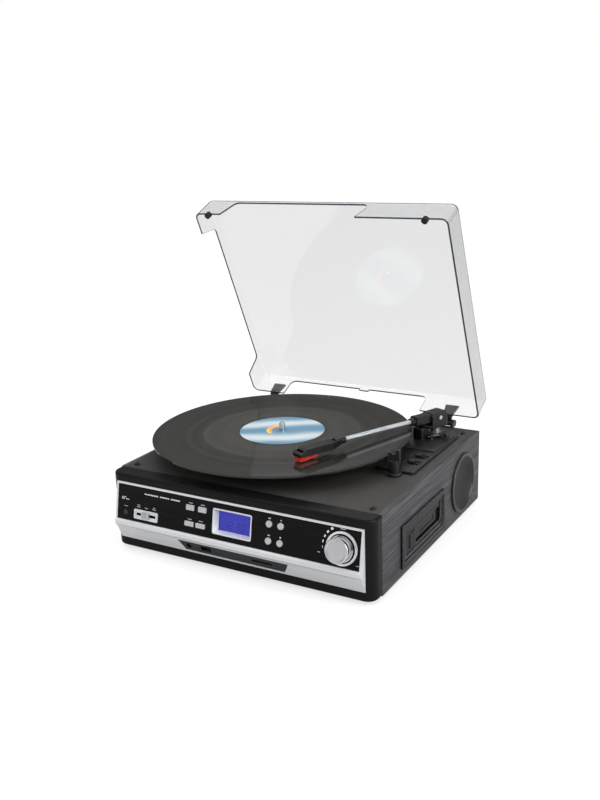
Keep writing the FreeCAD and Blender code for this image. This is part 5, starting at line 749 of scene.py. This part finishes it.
def is_cut_edge(face):
    """True for the faces that the saw leaves round the opening and the gaps in the walls."""
    middle = face.calc_center_median()
    if rim_plane - middle.dot(cover_rim_out) > cover_gap_height:
        return False
    if face.normal.dot(cover_rim_out) > facing_out:
        return True
    if abs(face.normal.x) > facing_along:
        return abs(middle.x) < rim_half_width - cover_corner
    along = middle.dot(cover_length)
    faces_along = abs(face.normal.dot(cover_length)) > facing_along
    return faces_along and min(rim_lengths) + cover_end < along < max(rim_lengths) - cover_end


bmesh.ops.delete(rim, geom=[face for face in rim.faces if not is_cut_edge(face)], context="FACES")
bmesh.ops.solidify(rim, geom=list(rim.faces), thickness=-cover_rim_lift)
bmesh.ops.recalc_face_normals(rim, faces=rim.faces)
rim_mesh = bpy.data.meshes.new("cover_edge_shade")
rim.to_mesh(rim_mesh)
rim.free()
# The sheet is coloured a dark blue-grey: painted shade over the rim.
rim_finish, rim_tree, rim_shader = start_finish("painted_edge_shade", (0.03, 0.045, 0.07), 0.25)
rim_shade_specks = grain(rim_tree, (0.002, 0.002, 0.002), 3.0)
tint(rim_tree, rim_shader, rim_shade_specks, (0.3, (0.02, 0.03, 0.05)), (0.7, (0.06, 0.08, 0.11)))
rim_mesh.materials.append(rim_finish)
rim_piece = bpy.data.objects.new("cover_edge_shade", rim_mesh)
bpy.context.scene.collection.objects.link(rim_piece)
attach(rim_piece, "cover")

# Bumpers: two buttons of black rubber, pressed onto the front rim of the cover.
# They land on the deck when the cover is shut.
bumper_finish = moulded_finish("bumper_rubber", (0.012, 0.012, 0.012), 0.6, 0.0005, 0.00002, 0.3)
put_on(bumper_finish, "lid_bumpers")

# Floor and light: a plain pale sweep under a broad soft light from above, in a dim room.
# The lens sees the floor and what is past it as white, and the pieces mirror a greyer floor,
# dark walls and a pale ceiling.


def straight_to_lens(tree):
    """1 for light straight to the lens, also through clear plastic, and 0 for what pieces reflect."""
    ray = tree.nodes.new("ShaderNodeLightPath")
    bounces = sums(tree, "ADD", ray.outputs["Diffuse Depth"], ray.outputs["Glossy Depth"])
    return sums(tree, "LESS_THAN", bounces, 0.5)


floor_colour, floor_mirrored = (0.3, 0.3, 0.3), (0.5, 0.5, 0.5)
floor_glow, floor_radius = 0.68, 12.0
floor_finish, floor_tree, floor_shader = start_finish("pale_floor", floor_colour, 0.8)
floor_seen = straight_to_lens(floor_tree)
tint(floor_tree, floor_shader, floor_seen, (0.0, floor_mirrored), (1.0, floor_colour))
floor_shader.inputs["Emission Color"].default_value = (1.0, 1.0, 1.0, 1.0)
floor_tree.links.new(sums(floor_tree, "MULTIPLY", floor_seen, floor_glow),
                     floor_shader.inputs["Emission Strength"])
floor_shader.inputs["Specular IOR Level"].default_value = 0.0
floor_mesh = bpy.data.meshes.new("floor")
floor_disc = bmesh.new()
bmesh.ops.create_circle(floor_disc, cap_ends=True, segments=96, radius=floor_radius)
floor_disc.to_mesh(floor_mesh)
floor_disc.free()
floor_mesh.materials.append(floor_finish)
floor = bpy.data.objects.new("floor", floor_mesh)
bpy.context.scene.collection.objects.link(floor)

room = bpy.data.worlds.new("room")
bpy.context.scene.world = room
room.use_nodes = True
room_tree = room.node_tree
room_direction = room_tree.nodes.new("ShaderNodeTexCoord")
room_height = room_tree.nodes.new("ShaderNodeSeparateXYZ")
room_tree.links.new(room_direction.outputs["Generated"], room_height.inputs[0])
room_walls = shades(room_tree, between(room_tree, room_height.outputs["Z"], 0.0, 1.0, -0.1, 1.0),
                    (0.0, (0.07, 0.07, 0.07)), (0.3, (0.12, 0.12, 0.125)), (0.6, (0.5, 0.5, 0.51)),
                    (1.0, (0.95, 0.95, 0.95)))
room_mix = room_tree.nodes.new("ShaderNodeMix")
room_mix.data_type = "RGBA"
room_tree.links.new(straight_to_lens(room_tree), room_mix.inputs["Factor"])
room_tree.links.new(room_walls, room_mix.inputs["A"])
room_mix.inputs["B"].default_value = (1.0, 1.0, 1.0, 1.0)
room_tree.links.new(room_mix.outputs["Result"], room_tree.nodes["Background"].inputs["Color"])


def soft_light(name, place, aim, side, power, mirrored=True):
    """A square soft light at place, facing aim, which glossy pieces show unless mirrored is False."""
    lamp = bpy.data.lights.new(name, "AREA")
    lamp.size = side
    lamp.energy = power
    light = bpy.data.objects.new(name, lamp)
    light.location = place
    light.rotation_euler = (Vector(aim) - Vector(place)).to_track_quat("-Z", "Y").to_euler()
    light.visible_glossy = mirrored
    bpy.context.scene.collection.objects.link(light)


sky = bpy.data.lights.new("sky", "SUN")
sky.energy = 1.75
sky.angle = math.radians(110.0)
sky_light = bpy.data.objects.new("sky", sky)
sky_light.visible_glossy = False
sky_light.rotation_euler = (math.radians(-12.0), math.radians(-6.0), 0.0)
bpy.context.scene.collection.objects.link(sky_light)
soft_light("right_wall", (2.0, -0.2, 0.9), (0.15, 0.0, 0.05), 1.2, 38.0)
soft_light("front_left", (-1.2, -1.8, 1.0), (0.0, -0.1, 0.05), 0.9, 20.0, mirrored=False)

# Camera: a short telephoto lens, a little to the right of the front and above the deck.
# Its place and angles put every edge where the photograph has it.
camera_yaw, camera_pitch, camera_roll = math.radians(30.36), math.radians(16.62), math.radians(-2.02)
camera_place = Vector((0.51498, -0.88103, 0.4563))
look = Vector((-math.sin(camera_yaw) * math.cos(camera_pitch), math.cos(camera_yaw) * math.cos(camera_pitch),
               -math.sin(camera_pitch)))
level = Vector((math.cos(camera_yaw), math.sin(camera_yaw), 0.0))
upright = level.cross(look)
camera_right = math.cos(camera_roll) * level + math.sin(camera_roll) * upright
camera_up = -math.sin(camera_roll) * level + math.cos(camera_roll) * upright
lens = bpy.data.cameras.new("photographer")
lens.sensor_width = 36.0
lens.lens = 42.06
camera = bpy.data.objects.new("photographer", lens)
camera.matrix_world = stand_on(camera_right, camera_up, -look, camera_place)
bpy.context.scene.collection.objects.link(camera)
bpy.context.scene.camera = camera
bpy.context.scene.view_settings.view_transform = "Standard"
